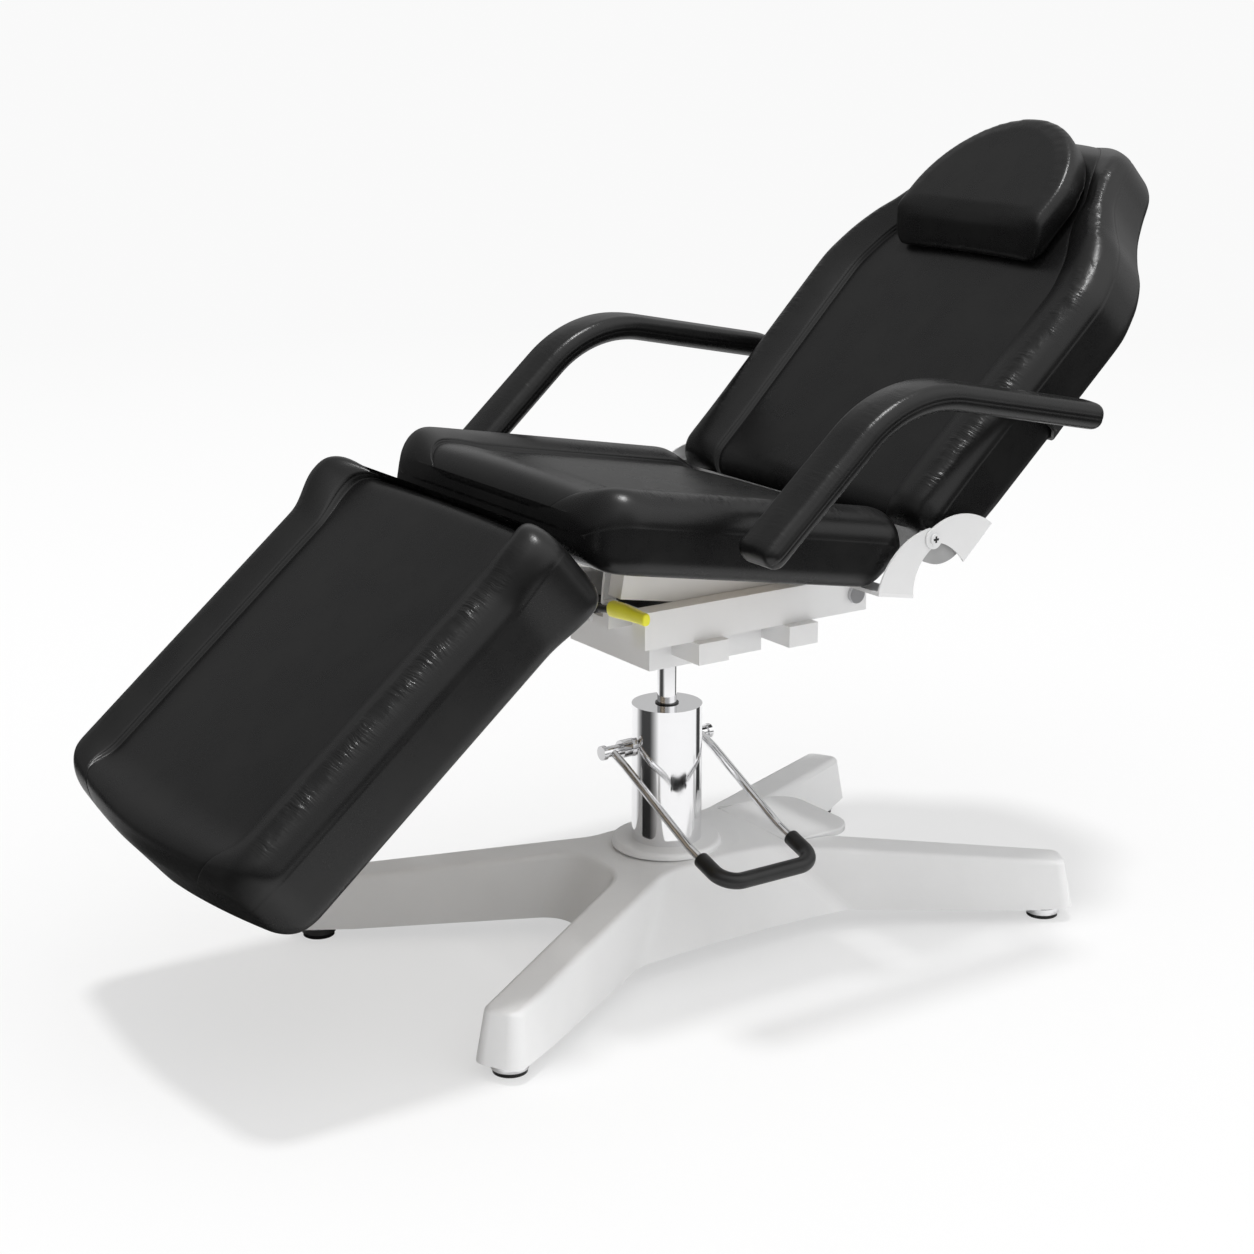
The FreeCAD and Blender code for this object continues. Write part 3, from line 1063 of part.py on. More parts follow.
def arms():
    """Two padded bars on a steel core, each swinging up on its pin beside the back."""
    turn = Vector(1, 0, 0)
    start, corner, end = arm_path()
    bend = val("arm_bend")
    path = bent([start, corner, end], [bend])
    along = (corner - start).normalize()
    across = (end - corner).normalize()
    half_x = val("arm_width") / 2
    up = Vector(0, -along.z, along.y) * (val("arm_height") / 2)
    wide = turn * half_x
    face = Part.makePolygon([start + wide + up, start - wide + up, start - wide - up,
                             start + wide - up, start + wide + up])
    pad = path.makePipeShell([face], True, False)
    pad = pad.makeFillet(val("arm_edge"), [e for e in pad.Edges if e.Length > half_x * 3])

    def caps(solid):
        return [e for f in solid.Faces for e in f.Edges
                if isinstance(f.Surface, Part.Plane)
                and max(abs(f.normalAt(0, 0).dot(d)) for d in (along, across)) > PARALLEL
                and max(abs(e.tangentAt(e.FirstParameter).dot(d)) for d in (along, across)) < PARALLEL]

    pad = pad.makeFillet(val("arm_end_edge"), caps(pad))
    inset = val("arm_height")
    core = swept_round(bent([start + along * inset, corner, end - across * inset / 2], [bend]),
                       val("arm_core_radius"))
    pivot = Vector(0, val("arm_pivot_y"), val("arm_pivot_z"))
    inner = val("bracket_out + bracket_gap - arm_x")
    boss = Part.makeCylinder(val("arm_boss_radius"), -inner, pivot + turn * inner, turn)
    bore = Part.makeCylinder(val("arm_pin_radius + pin_clearance"),
                             half_x + val("arm_boss_in + bracket_gap"),
                             pivot - turn * half_x * 2, turn)
    steel = core.fuse(boss).cut(bore)
    pad = pad.cut(boss).cut(core).cut(bore)
    for name, sign in (("left", ""), ("right", "-")):
        shapes = (steel, pad) if name == "left" else (
            steel.mirror(Vector(), turn), pad.mirror(Vector(), turn))
        node(feature("arm_core_" + name, shapes[0], x=f"{sign}arm_x"), "arm_core_" + name)
        node(feature("arm_pad_" + name, shapes[1], x=f"{sign}arm_x"), "arm_pad_" + name)


def head_pillow():
    """A half-moon pillow: straight below, round above, its edges well rounded."""
    half = val("pillow_half")
    tall = val("pillow_length")
    corner = val("pillow_corner")
    bend = corner * math.sqrt(0.5)
    right = [Vector(half - corner, 0, 0), Vector(half - corner + bend, corner - bend, 0),
             Vector(half, corner, 0), Vector(half, tall - half, 0)]
    left = [Vector(-p.x, p.y, 0) for p in right]
    edges = [Part.makeLine(left[0], right[0]), Part.Arc(right[0], right[1], right[2]).toShape(),
             Part.makeLine(right[2], right[3]),
             Part.Arc(right[3], Vector(0, tall, 0), left[3]).toShape(),
             Part.makeLine(left[3], left[2]), Part.Arc(left[2], left[1], left[0]).toShape()]
    thick = val("pillow_thick")
    lip = val("pillow_lip")
    over = val("overrun")
    solid = Part.Face(Part.Wire(edges)).extrude(Vector(0, 0, thick))
    wedge = Part.Face(Part.makePolygon([
        Vector(-half - over, y, z) for y, z in
        ((-over, lip), (0, lip), (thick - lip, thick), (thick - lip, thick + over),
         (-over, thick + over), (-over, lip))])).extrude(Vector((half + over) * 2, 0, 0))
    solid = solid.cut(wedge)
    brow = [e for e in solid.Edges if e.BoundBox.ZMin > thick - lip
            or (e.BoundBox.ZMin > lip / 2 and e.BoundBox.ZLength > corner)
            and abs(e.tangentAt(e.FirstParameter).y) > SQUARE]
    solid = solid.makeFillet(val("pillow_edge"), brow)
    node(feature("pillow", solid, "back", y="pillow_start", z="pillow_low"), "head_pillow")


def build():
    levelling_feet()
    casting = feature("casting", base_casting(), y="casting_y")
    node(casting, "base_casting")
    release_pedal()
    pump_cylinder()
    piston()
    pump_pedal()
    column_head()
    lower_frame()
    tilt_clamp()
    seat_frame()
    seat_cushion()
    leg_rest()
    leg_hinges()
    back_hinges()
    back_rest()
    arm_brackets()
    arms()
    head_pillow()


def check_and_write():
    doc.recompute()
    for thing in doc.Objects:
        if "Invalid" in thing.State or "Error" in thing.State:
            raise RuntimeError(f"{thing.Name} did not rebuild: {thing.State}")
    for thing in NODES:
        shape = thing.Shape
        if shape.isNull() or not shape.isValid() or not shape.Solids:
            raise RuntimeError(f"{thing.Label} has no valid solid")
    os.makedirs("parts", exist_ok=True)
    for thing in NODES:
        thing.Shape.exportStep(f"parts/{thing.Label}.step")


build()
check_and_write()
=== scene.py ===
import json
import math

import bmesh
import bpy
import numpy as np
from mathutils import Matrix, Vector


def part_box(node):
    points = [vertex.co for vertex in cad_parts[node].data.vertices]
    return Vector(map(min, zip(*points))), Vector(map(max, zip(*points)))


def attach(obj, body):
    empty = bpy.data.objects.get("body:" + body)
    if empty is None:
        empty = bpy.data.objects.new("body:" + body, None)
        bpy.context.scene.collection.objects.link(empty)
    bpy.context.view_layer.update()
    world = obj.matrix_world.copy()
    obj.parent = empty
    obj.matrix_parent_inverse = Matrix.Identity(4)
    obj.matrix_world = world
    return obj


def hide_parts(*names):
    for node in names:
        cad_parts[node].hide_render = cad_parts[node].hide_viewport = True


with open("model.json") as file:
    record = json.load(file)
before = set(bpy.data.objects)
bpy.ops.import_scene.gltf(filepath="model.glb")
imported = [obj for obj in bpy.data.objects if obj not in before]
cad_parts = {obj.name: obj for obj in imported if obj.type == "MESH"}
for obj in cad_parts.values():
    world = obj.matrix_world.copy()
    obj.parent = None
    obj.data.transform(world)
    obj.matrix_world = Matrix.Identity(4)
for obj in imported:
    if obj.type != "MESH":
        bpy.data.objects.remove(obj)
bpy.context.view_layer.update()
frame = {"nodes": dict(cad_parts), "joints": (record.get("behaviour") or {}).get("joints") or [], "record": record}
scene = bpy.context.scene
QUARTER = math.pi / 2


def mm(value):
    return value / 1000


def grey(level):
    return (level, level, level)


def placed(name, data):
    """A new object in the scene."""
    made = bpy.data.objects.new(name, data)
    scene.collection.objects.link(made)
    return made


# Shader helpers

def new_material(name):
    """A node material with its tree and its principled shader."""
    made = bpy.data.materials.new(name)
    made.use_nodes = True
    tree = made.node_tree
    return made, tree, tree.nodes["Principled BSDF"]


def link(tree, source, target):
    tree.links.new(source, target)


def coordinates(tree, scale=(1, 1, 1)):
    """Object coordinates in metres, stretched by a scale."""
    place = tree.nodes.new("ShaderNodeTexCoord")
    mapping = tree.nodes.new("ShaderNodeMapping")
    mapping.inputs["Scale"].default_value = scale
    link(tree, place.outputs["Object"], mapping.inputs["Vector"])
    return mapping.outputs["Vector"]


def noise_texture(tree, vector, scale, detail=4.0, roughness=0.55):
    made = tree.nodes.new("ShaderNodeTexNoise")
    made.inputs["Scale"].default_value = scale
    made.inputs["Detail"].default_value = detail
    made.inputs["Roughness"].default_value = roughness
    link(tree, vector, made.inputs["Vector"])
    return made.outputs["Fac"]


def cells(tree, vector, scale):
    made = tree.nodes.new("ShaderNodeTexVoronoi")
    made.inputs["Scale"].default_value = scale
    link(tree, vector, made.inputs["Vector"])
    return made.outputs["Distance"]


def spread(tree, value, low, high, start=0.0, end=1.0):
    """A value remapped from start..end to low..high, clamped."""
    made = tree.nodes.new("ShaderNodeMapRange")
    made.inputs["From Min"].default_value = start
    made.inputs["From Max"].default_value = end
    made.inputs["To Min"].default_value = low
    made.inputs["To Max"].default_value = high
    link(tree, value, made.inputs["Value"])
    return made.outputs["Result"]


def patchy(tree, value, low=0, high=1):
    """The middle of a noise's range, spread to low..high."""
    return spread(tree, value, low, high, 0.3, 0.7)


def facing(tree, vector, direction):
    """How far a vector points in a direction."""
    made = tree.nodes.new("ShaderNodeVectorMath")
    made.operation = "DOT_PRODUCT"
    link(tree, vector, made.inputs[0])
    made.inputs[1].default_value = direction
    return made.outputs["Value"]


def either(tree, factor, first, second):
    """The first shader at a factor of 0, and the second at 1."""
    made = tree.nodes.new("ShaderNodeMixShader")
    for socket, value in zip(made.inputs, (factor, first, second)):
        link(tree, value, socket)
    return made.outputs["Shader"]


def emission(tree, level):
    made = tree.nodes.new("ShaderNodeEmission")
    made.inputs["Color"].default_value = (*grey(level), 1)
    return made.outputs["Emission"]


def maths(tree, operation, a, b):
    made = tree.nodes.new("ShaderNodeMath")
    made.operation = operation
    for socket, value in zip(made.inputs, (a, b)):
        if isinstance(value, (int, float)):
            socket.default_value = value
        else:
            link(tree, value, socket)
    return made.outputs["Value"]


def mixed(tree, factor, low, high):
    """A colour between two colours."""
    made = tree.nodes.new("ShaderNodeMix")
    made.data_type = "RGBA"
    made.inputs["A"].default_value = (*low, 1)
    made.inputs["B"].default_value = (*high, 1)
    link(tree, factor, made.inputs["Factor"])
    return made.outputs["Result"]


def bumped(tree, shader, *layers):
    """Stack bump layers of (height, strength, distance) on a shader."""
    last = None
    for height, strength, distance in layers:
        made = tree.nodes.new("ShaderNodeBump")
        made.inputs["Strength"].default_value = strength
        made.inputs["Distance"].default_value = distance
        link(tree, height, made.inputs["Height"])
        if last:
            link(tree, last, made.inputs["Normal"])
        last = made.outputs["Normal"]
    link(tree, last, shader.inputs["Normal"])


def painted(name, low, high, roughness, peel):
    """Stoved paint: faint mottling, an orange-peel skin and a worn sheen."""
    made, tree, shader = new_material(name)
    vector = coordinates(tree)
    mottle = patchy(tree, noise_texture(tree, vector, 7))
    link(tree, mixed(tree, mottle, low, high), shader.inputs["Base Color"])
    wear = patchy(tree, noise_texture(tree, vector, 34), *roughness)
    link(tree, wear, shader.inputs["Roughness"])
    bumped(tree, shader, (noise_texture(tree, vector, 420, 3), peel, mm(0.4)))
    return made


def leather():
    """Black upholstery leather: pebbled grain, fine creases where the cover is drawn tight."""
    made, tree, shader = new_material("black_leather")
    vector = coordinates(tree)
    warped = tree.nodes.new("ShaderNodeVectorMath")
    warped.operation = "MULTIPLY_ADD"
    drift = tree.nodes.new("ShaderNodeTexNoise")
    drift.inputs["Scale"].default_value = 90
    link(tree, vector, drift.inputs["Vector"])
    link(tree, drift.outputs["Color"], warped.inputs[0])
    warped.inputs[1].default_value = (mm(1.6),) * 3
    link(tree, vector, warped.inputs[2])
    pebble = cells(tree, warped.outputs["Vector"], 760)
    fine = noise_texture(tree, vector, 1500, 2)
    broad = noise_texture(tree, vector, 16, 3)

    along = tree.nodes.new("ShaderNodeAttribute")
    along.attribute_name = "cover"
    split = tree.nodes.new("ShaderNodeSeparateXYZ")
    link(tree, along.outputs["Vector"], split.inputs["Vector"])
    drawn = tree.nodes.new("ShaderNodeCombineXYZ")
    wander = spread(tree, noise_texture(tree, vector, 30, 2), mm(-6), mm(6))
    link(tree, maths(tree, "ADD", split.outputs["X"], wander), drawn.inputs["X"])
    link(tree, maths(tree, "MULTIPLY", split.outputs["Y"], 0.12), drawn.inputs["Y"])
    lines = noise_texture(tree, drawn.outputs["Vector"], 190, 2.5, 0.6)
    patches = spread(tree, noise_texture(tree, vector, 22, 2), 0, 1, 0.36, 0.62)
    creases = maths(tree, "MULTIPLY", maths(tree, "MULTIPLY", lines, patches), split.outputs["Z"])

    dye = mixed(tree, patchy(tree, broad), (0.0052, 0.0052, 0.0054), (0.0078, 0.0077, 0.0076))
    link(tree, dye, shader.inputs["Base Color"])
    wear = maths(tree, "ADD", patchy(tree, broad, 0.23, 0.29), spread(tree, pebble, 0.0, 0.06))
    link(tree, wear, shader.inputs["Roughness"])
    shader.inputs["Specular IOR Level"].default_value = 0.38
    bumped(tree, shader, (creases, 1.0, mm(2.4)), (pebble, 0.16, mm(0.4)), (fine, 0.1, mm(0.2)))
    return made


def chrome():
    """Bright plating with faint polishing lines and haze."""
    made, tree, shader = new_material("chrome")
    shader.inputs["Base Color"].default_value = (0.86, 0.86, 0.87, 1)
    shader.inputs["Metallic"].default_value = 1
    haze = noise_texture(tree, coordinates(tree), 60, 5)
    link(tree, spread(tree, haze, 0.05, 0.1, 0.35, 0.7), shader.inputs["Roughness"])
    rings = noise_texture(tree, coordinates(tree, (3, 3, 900)), 1, 2)
    bumped(tree, shader, (rings, 0.05, mm(0.05)))
    return made


def brushed():
    """Bare steel with a grain across X."""
    made, tree, shader = new_material("brushed_steel")
    shader.inputs["Base Color"].default_value = (0.56, 0.56, 0.57, 1)
    shader.inputs["Metallic"].default_value = 1
    vector = coordinates(tree)
    wear = spread(tree, noise_texture(tree, vector, 80, 5), 0.24, 0.42)
    link(tree, wear, shader.inputs["Roughness"])
    grain = noise_texture(tree, coordinates(tree, (1200, 60, 60)), 1, 3)
    bumped(tree, shader, (grain, 0.15, mm(0.1)))
    return made


def rubber():
    """Black rubber with a fine matt grain."""
    made, tree, shader = new_material("black_rubber")
    vector = coordinates(tree)
    black = mixed(tree, noise_texture(tree, vector, 40), grey(0.004), grey(0.009))
    link(tree, black, shader.inputs["Base Color"])
    wear = spread(tree, noise_texture(tree, vector, 120), 0.3, 0.45)
    link(tree, wear, shader.inputs["Roughness"])
    bumped(tree, shader, (noise_texture(tree, vector, 900, 3), 0.25, mm(0.3)))
    return made


def moulded(name, low, high, roughness, coat=0.0):
    """Moulded plastic with a fine spark-eroded texture."""
    made, tree, shader = new_material(name)
    vector = coordinates(tree)
    mottle = patchy(tree, noise_texture(tree, vector, 18))
    link(tree, mixed(tree, mottle, low, high), shader.inputs["Base Color"])
    wear = spread(tree, noise_texture(tree, vector, 90), *roughness)
    link(tree, wear, shader.inputs["Roughness"])
    shader.inputs["Coat Weight"].default_value = coat
    bumped(tree, shader, (noise_texture(tree, vector, 700, 2), 0.08, mm(0.2)))
    return made


def plywood():
    """Bare plywood with its grain along X."""
    made, tree, shader = new_material("plywood")
    vector = coordinates(tree, (2, 26, 26))
    grain = noise_texture(tree, vector, 3, 6)
    veneer = mixed(tree, grain, (0.36, 0.29, 0.21), (0.52, 0.45, 0.36))
    link(tree, veneer, shader.inputs["Base Color"])
    shader.inputs["Roughness"].default_value = 0.7
    bumped(tree, shader, (grain, 0.2, mm(0.4)))
    return made


LEATHER = leather()
FINISH = {
    "pale_paint": painted("pale_paint", grey(0.82), grey(0.86), (0.34, 0.46), 0.22),
    "white_plate": painted("white_plate", grey(0.80), grey(0.84), (0.14, 0.24), 0.08),
    "grey_plastic": moulded("grey_plastic", grey(0.33), grey(0.40), (0.4, 0.55)),
    "chrome": chrome(),
    "steel": brushed(),
    "black_rubber": rubber(),
    "black_paint": painted("black_paint", grey(0.014), grey(0.022), (0.36, 0.5), 0.3),
    "yellow_grip": moulded("yellow_grip", (0.90, 0.86, 0.03), (0.96, 0.92, 0.05), (0.26, 0.38),
                           coat=0.2),
    "black_leather": LEATHER,
    "plywood": plywood(),
}
SLOT_OF = {part["node"]: part["material_slot"] for part in frame["record"]["subparts"]}
# The release pedal and the rivets' heads are as glossy as the hinge plates.
SLOT_OF["release_pedal"] = "white_plate"
SLOT_OF["hinge_rivets"] = "white_plate"
for name, thing in frame["nodes"].items():
    finish = FINISH[SLOT_OF[name]]
    if not thing.material_slots:
        thing.data.materials.append(finish)
    for slot in thing.material_slots:
        slot.material = finish


# Upholstery

JOINTS = {joint["name"]: joint for joint in frame["joints"]}


def frame_of(joint, angle):
    """A map from a tilted assembly's own level axes to the row frame."""
    pivot = JOINTS[joint]["pos_m"]
    turn = math.radians(angle)

    def to_world(points):
        points = np.asarray(points, dtype=float)
        world = np.empty_like(points)
        y, z = points[..., 1], points[..., 2]
        world[..., 0] = points[..., 0]
        world[..., 1] = pivot[1] + y * math.cos(turn) - z * math.sin(turn)
        world[..., 2] = pivot[2] + y * math.sin(turn) + z * math.cos(turn)
        return world
    return to_world


SEAT = frame_of("seat_tilt", -10.5)
LEG = frame_of("leg_rest_hinge", 40)
BACK = frame_of("back_hinge", 44)


def ease(distance, radius):
    """How far a rounded end is drawn in at a distance from its tip."""
    if radius <= 0 or distance >= radius:
        return 0.0
    return radius - math.sqrt(radius ** 2 - (radius - distance) ** 2)


def smooth(value, low, high):
    """From 0 below low to 1 above high, without a corner."""
    t = np.clip((value - low) / (high - low), 0, 1)
    return t * t * (3 - 2 * t)


def closer(reach, count):
    """Distances from a tip over its rounded end, closer together towards the tip."""
    return [reach * (1 - math.cos(QUARTER * i / count)) for i in range(count)]


SEAM = mm(1.6)
UNDER_STEPS, EDGE_STEPS, SIDE_STEPS = 24, 6, 8
SHOULDER_STEPS, SLOPE_STEPS, PANEL_STEPS = 10, 12, 56
ROUND_STEPS = 9
SLOPE_SHARE, LIP_SHARE = 0.74, 0.26


def ring(half, thick, drop, bolster, outer, corner, crown, low=0.0):
    """One slice of a cushion: points round it from its underside's middle, and their roles."""
    crest = half - outer
    inner = half - bolster
    seam = thick - drop
    slope = max(crest - inner, mm(4))
    points = []
    roles = []

    def add(x, z, role):
        points.append((x, z))
        roles.append(role)

    for i in range(UNDER_STEPS):
        add((half - corner) * i / UNDER_STEPS, low, "under")
    for i in range(EDGE_STEPS):
        t = QUARTER * i / EDGE_STEPS
        add(half - corner + corner * math.sin(t), low + corner * (1 - math.cos(t)), "edge")
    top = thick - outer
    wall = top - low - corner
    stitch = SEAM / max(wall, mm(20))
    for t in [i / SIDE_STEPS for i in range(SIDE_STEPS)] + [1 - 2 * stitch, 1 - stitch]:
        add(half, low + corner + wall * t, "side")
    add(half, top, "side_seam")
    for i in range(1, SHOULDER_STEPS):
        t = QUARTER * i / SHOULDER_STEPS
        add(crest + outer * math.cos(t), top + outer * math.sin(t), "shoulder")
    for i in range(SLOPE_STEPS):
        t = i / SLOPE_STEPS
        add(crest - slope * t, thick - drop * SLOPE_SHARE * t ** 1.7, "slope")
    for t in (0.3, 0.6, 0.8, 0.95):
        add(inner + SEAM + (1 - t) * slope / SLOPE_STEPS,
            seam + drop * LIP_SHARE * math.sqrt(1 - t * t), "slope")
    add(inner, seam, "panel_seam")
    width = inner * 2
    add(inner - SEAM, seam, "panel")
    for i in range(1, PANEL_STEPS // 2):
        t = i / PANEL_STEPS
        add(inner - width * t, seam + crown * math.sin(math.pi * t) ** 0.8, "panel")
    count = len(points)
    add(0, seam + crown, "panel")
    for i in range(count - 1, 0, -1):
        x, z = points[i]
        add(-x, z, roles[i])
    return points, roles


def turn_outward(mesh):
    work = bmesh.new()
    work.from_mesh(mesh)
    bmesh.ops.recalc_face_normals(work, faces=work.faces)
    work.to_mesh(mesh)
    work.free()


def closed_mesh(name, rings, roles, attributes, place):
    """Rings of points put in place, closed at both ends by a grid between a ring's two halves."""
    rings = np.asarray(rings)
    steps, count = rings.shape[:2]
    points = [tuple(p) for r in rings for p in r]
    cover = [tuple(a) for r in attributes for a in r]
    kinds = list(roles) * steps
    faces = []
    for i in range(steps - 1):
        for j in range(count):
            k = (j + 1) % count
            faces.append((i * count + j, i * count + k, (i + 1) * count + k, (i + 1) * count + j))

    def cap(index, flip):
        """The half from the underside's middle up one side pairs with the mirrored half."""
        base = index * count
        half = count // 2
        rungs = 16
        columns = []
        for j in range(half + 1):
            a = base + j
            b = base + (count - j) % count
            if a == b:
                columns.append([a])
                continue
            column = [a]
            for r in range(1, rungs):
                t = r / rungs
                p = rings[index][j] * (1 - t) + rings[index][(count - j) % count] * t
                column.append(len(points))
                points.append(tuple(p))
                cover.append((0.0, 0.0, 0.0))
                kinds.append("end")
            column.append(b)
            columns.append(column)
        for left, right in zip(columns, columns[1:]):
            if len(left) == 1:
                left = left * (rungs + 1)
            if len(right) == 1:
                right = right * (rungs + 1)
            for r in range(rungs):
                loop = [left[r], right[r], right[r + 1], left[r + 1]]
                loop = [v for i, v in enumerate(loop) if v not in loop[:i]]
                if len(loop) > 2:
                    faces.append(tuple(reversed(loop)) if flip else tuple(loop))

    cap(0, True)
    cap(steps - 1, False)
    mesh = bpy.data.meshes.new(name)
    mesh.from_pydata([tuple(p) for p in place(np.asarray(points))], [], faces)
    layer = mesh.attributes.new("cover", "FLOAT_VECTOR", "POINT")
    layer.data.foreach_set("vector", np.asarray(cover, dtype=np.float32).ravel())
    turn_outward(mesh)
    return placed(name, mesh), kinds


def coordinates_of(made):
    got = np.empty(len(made.data.vertices) * 3)
    made.data.vertices.foreach_get("co", got)
    return got.reshape(-1, 3)


def set_coordinates(made, points):
    made.data.vertices.foreach_set("co", np.asarray(points, dtype=float).ravel())
    made.data.update()


def normals_of(made):
    got = np.empty(len(made.data.vertices) * 3)
    made.data.vertex_normals.foreach_get("vector", got)
    return got.reshape(-1, 3)


def finer(made):
    """One round of subdivision, shaded smooth."""
    level = made.modifiers.new("finer", "SUBSURF")
    level.levels = 1
    level.render_levels = 1
    for polygon in made.data.polygons:
        polygon.use_smooth = True


def swell(made, held, cap, pressure=4.0, frames=18):
    """Fill a cover with air against its held points, as cloth, and keep the shape it takes."""
    group = made.vertex_groups.new(name="held")
    group.add([i for i, fixed in enumerate(held) if fixed], 1.0, "REPLACE")
    cloth = made.modifiers.new("cover", "CLOTH")
    settings = cloth.settings
    settings.quality = 6
    settings.mass = 0.35
    settings.tension_stiffness = 30
    settings.compression_stiffness = 30
    settings.shear_stiffness = 12
    settings.bending_stiffness = 3
    settings.use_pressure = True
    settings.uniform_pressure_force = pressure
    settings.vertex_group_mass = "held"
    settings.effector_weights.gravity = 0
    cloth.collision_settings.use_collision = False
    cloth.point_cache.frame_start = 1
    cloth.point_cache.frame_end = frames
    before = coordinates_of(made)
    for step in range(1, frames + 1):
        scene.frame_set(step)
    graph = bpy.context.evaluated_depsgraph_get()
    shape = made.evaluated_get(graph).to_mesh()
    after = np.empty(len(before) * 3)
    shape.vertices.foreach_get("co", after)
    made.evaluated_get(graph).to_mesh_clear()
    made.modifiers.remove(cloth)
    made.vertex_groups.remove(group)
    moved = after.reshape(-1, 3) - before
    length = np.linalg.norm(moved, axis=1, keepdims=True)
    moved *= np.minimum(1, cap / np.maximum(length, 1e-9))
    set_coordinates(made, before + moved)
    scene.frame_set(1)


def seams(made, kinds, depths):
    """Draw the cover in along its seams."""
    points = coordinates_of(made)
    normals = normals_of(made)
    for role, depth in depths.items():
        pick = np.array([k == role for k in kinds])
        points[pick] -= normals[pick] * depth
    set_coordinates(made, points)


def finish_cover(made, body, fill, *nodes):
    """Subdivide, shade, and hand a cushion to its body in place of its solid."""
    finer(made)
    made.data.materials.append(LEATHER)
    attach(made, body)
    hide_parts(*nodes)


def spots_between(length, near, far, step=mm(8.5)):
    """Places for slices along a cushion, closer together round both ends."""
    count = max(int((length - near - far) / step), 4)
    middle = [near + (length - near - far) * i / count for i in range(count + 1)]
    return sorted(closer(near, ROUND_STEPS) + middle
                  + [length - p for p in closer(far, ROUND_STEPS)])


def crease_mask(x, half, bolster, outer, y, length):
    """Where the cover wrinkles: over the bolsters' crests, but not near their ends."""
    depth = half - abs(x)
    past_side = smooth(depth, outer * 0.2, outer * 0.5)
    past_crest = smooth(depth, outer * 0.9, bolster * 0.56)
    past_start = smooth(y, mm(30), mm(90))
    past_end = smooth(y, length - mm(90), length - mm(30))
    return past_side * (1 - past_crest) * past_start * (1 - past_end)


def cover_notes(points, half, bolster, outer, y, length):
    """What the leather reads at a slice's points: way along, way around, and wrinkling."""
    notes = []
    around = 0.0
    last = points[0]
    for x, z in points:
        around += math.dist(last, (x, z))
        last = (x, z)
        notes.append((y, around, crease_mask(x, half, bolster, outer, y, length)))
    return notes


def slab(name, length, half, thick, corners, ends, to_world, low_z, start_y, drop_at,
         under=(0.0, 0.0), bow=0.0, slant=0.0, nose=0.0,
         lift=mm(20), bolster=mm(90), outer=mm(42)):
    """A cushion with a sunk panel between two bolsters, in its own frame.

    corners and ends round it as seen from above and from the side. under draws its underside up at
    both ends. bow pushes its first end out, slant leans its last end, and nose swells that one up.
    """
    radius = (max(corners[0], ends[0]), max(corners[1], ends[1]))
    rings = []
    notes = []
    for y in spots_between(length, *radius):
        pull = ease(y, corners[0]) + ease(length - y, corners[1])
        sink = ease(y, ends[0]) + ease(length - y, ends[1])
        low = ease(y, under[0]) + ease(length - y, under[1])
        tall = (thick - sink) / thick
        full = nose * smooth(y, length - mm(110), length - mm(40))
        wide = half - pull + full * 0.9
        points, roles = ring(wide, thick - sink + full, (lift + full) * drop_at(y) * tall, bolster,
                             outer * tall, mm(22) * tall, mm(5), low)
        rings.append([(x, y, z) for x, z in points])
        notes.append(cover_notes(points, wide, bolster, outer, y, length))

    def place(points):
        """Bow the first end out, lean the last one, and tilt the cushion with its frame."""
        x, y, z = points[:, 0], points[:, 1], points[:, 2]
        across = (np.abs(x) / mm(250)) ** 1.6
        out = bow * (1 - 1.92 * across) * (1 - smooth(y, 0, mm(120)))
        below = 1 - np.clip(z / (thick - ends[1]), 0, 1)
        back = slant * below * smooth(y, length - mm(140), length)
        return to_world(np.stack((x, y - out - back + start_y, z + low_z), axis=1))
    return closed_mesh(name, rings, roles, notes, place)


FREE = ("panel", "slope", "shoulder", "side_seam", "side", "end")


def pins(kinds):
    """The panel's seams and the stapled underside stay put, and the rest is free."""
    return [kind not in FREE for kind in kinds]


seat, kinds = slab(
    "seat_cover", length=mm(508), half=mm(291), thick=mm(108), corners=(mm(62), mm(50)),
    ends=(mm(44), mm(62)), to_world=SEAT, low_z=mm(31.5), start_y=mm(-538),
    drop_at=lambda y: 0.76 + 0.24 * smooth(y, mm(62), mm(112)), under=(mm(30), 0), slant=mm(46))
swell(seat, pins(kinds), cap=mm(4))
seams(seat, kinds, {"panel_seam": mm(1.1), "side_seam": mm(0.5)})
finish_cover(seat, "seat", 0.9, "seat_cushion")

leg, kinds = slab(
    "leg_rest_cover", length=mm(591), half=mm(291), thick=mm(126), corners=(mm(52), mm(36)),
    ends=(mm(42), mm(28)), to_world=LEG, low_z=mm(-30), start_y=mm(-600),
    drop_at=lambda y: smooth(y, mm(10), mm(80)), under=(mm(24), mm(24)), bow=mm(12), nose=mm(14))
swell(leg, pins(kinds), cap=mm(4))
seams(leg, kinds, {"panel_seam": mm(1.1), "side_seam": mm(0.5)})
finish_cover(leg, "leg_rest", 0.9, "leg_rest_cushion")

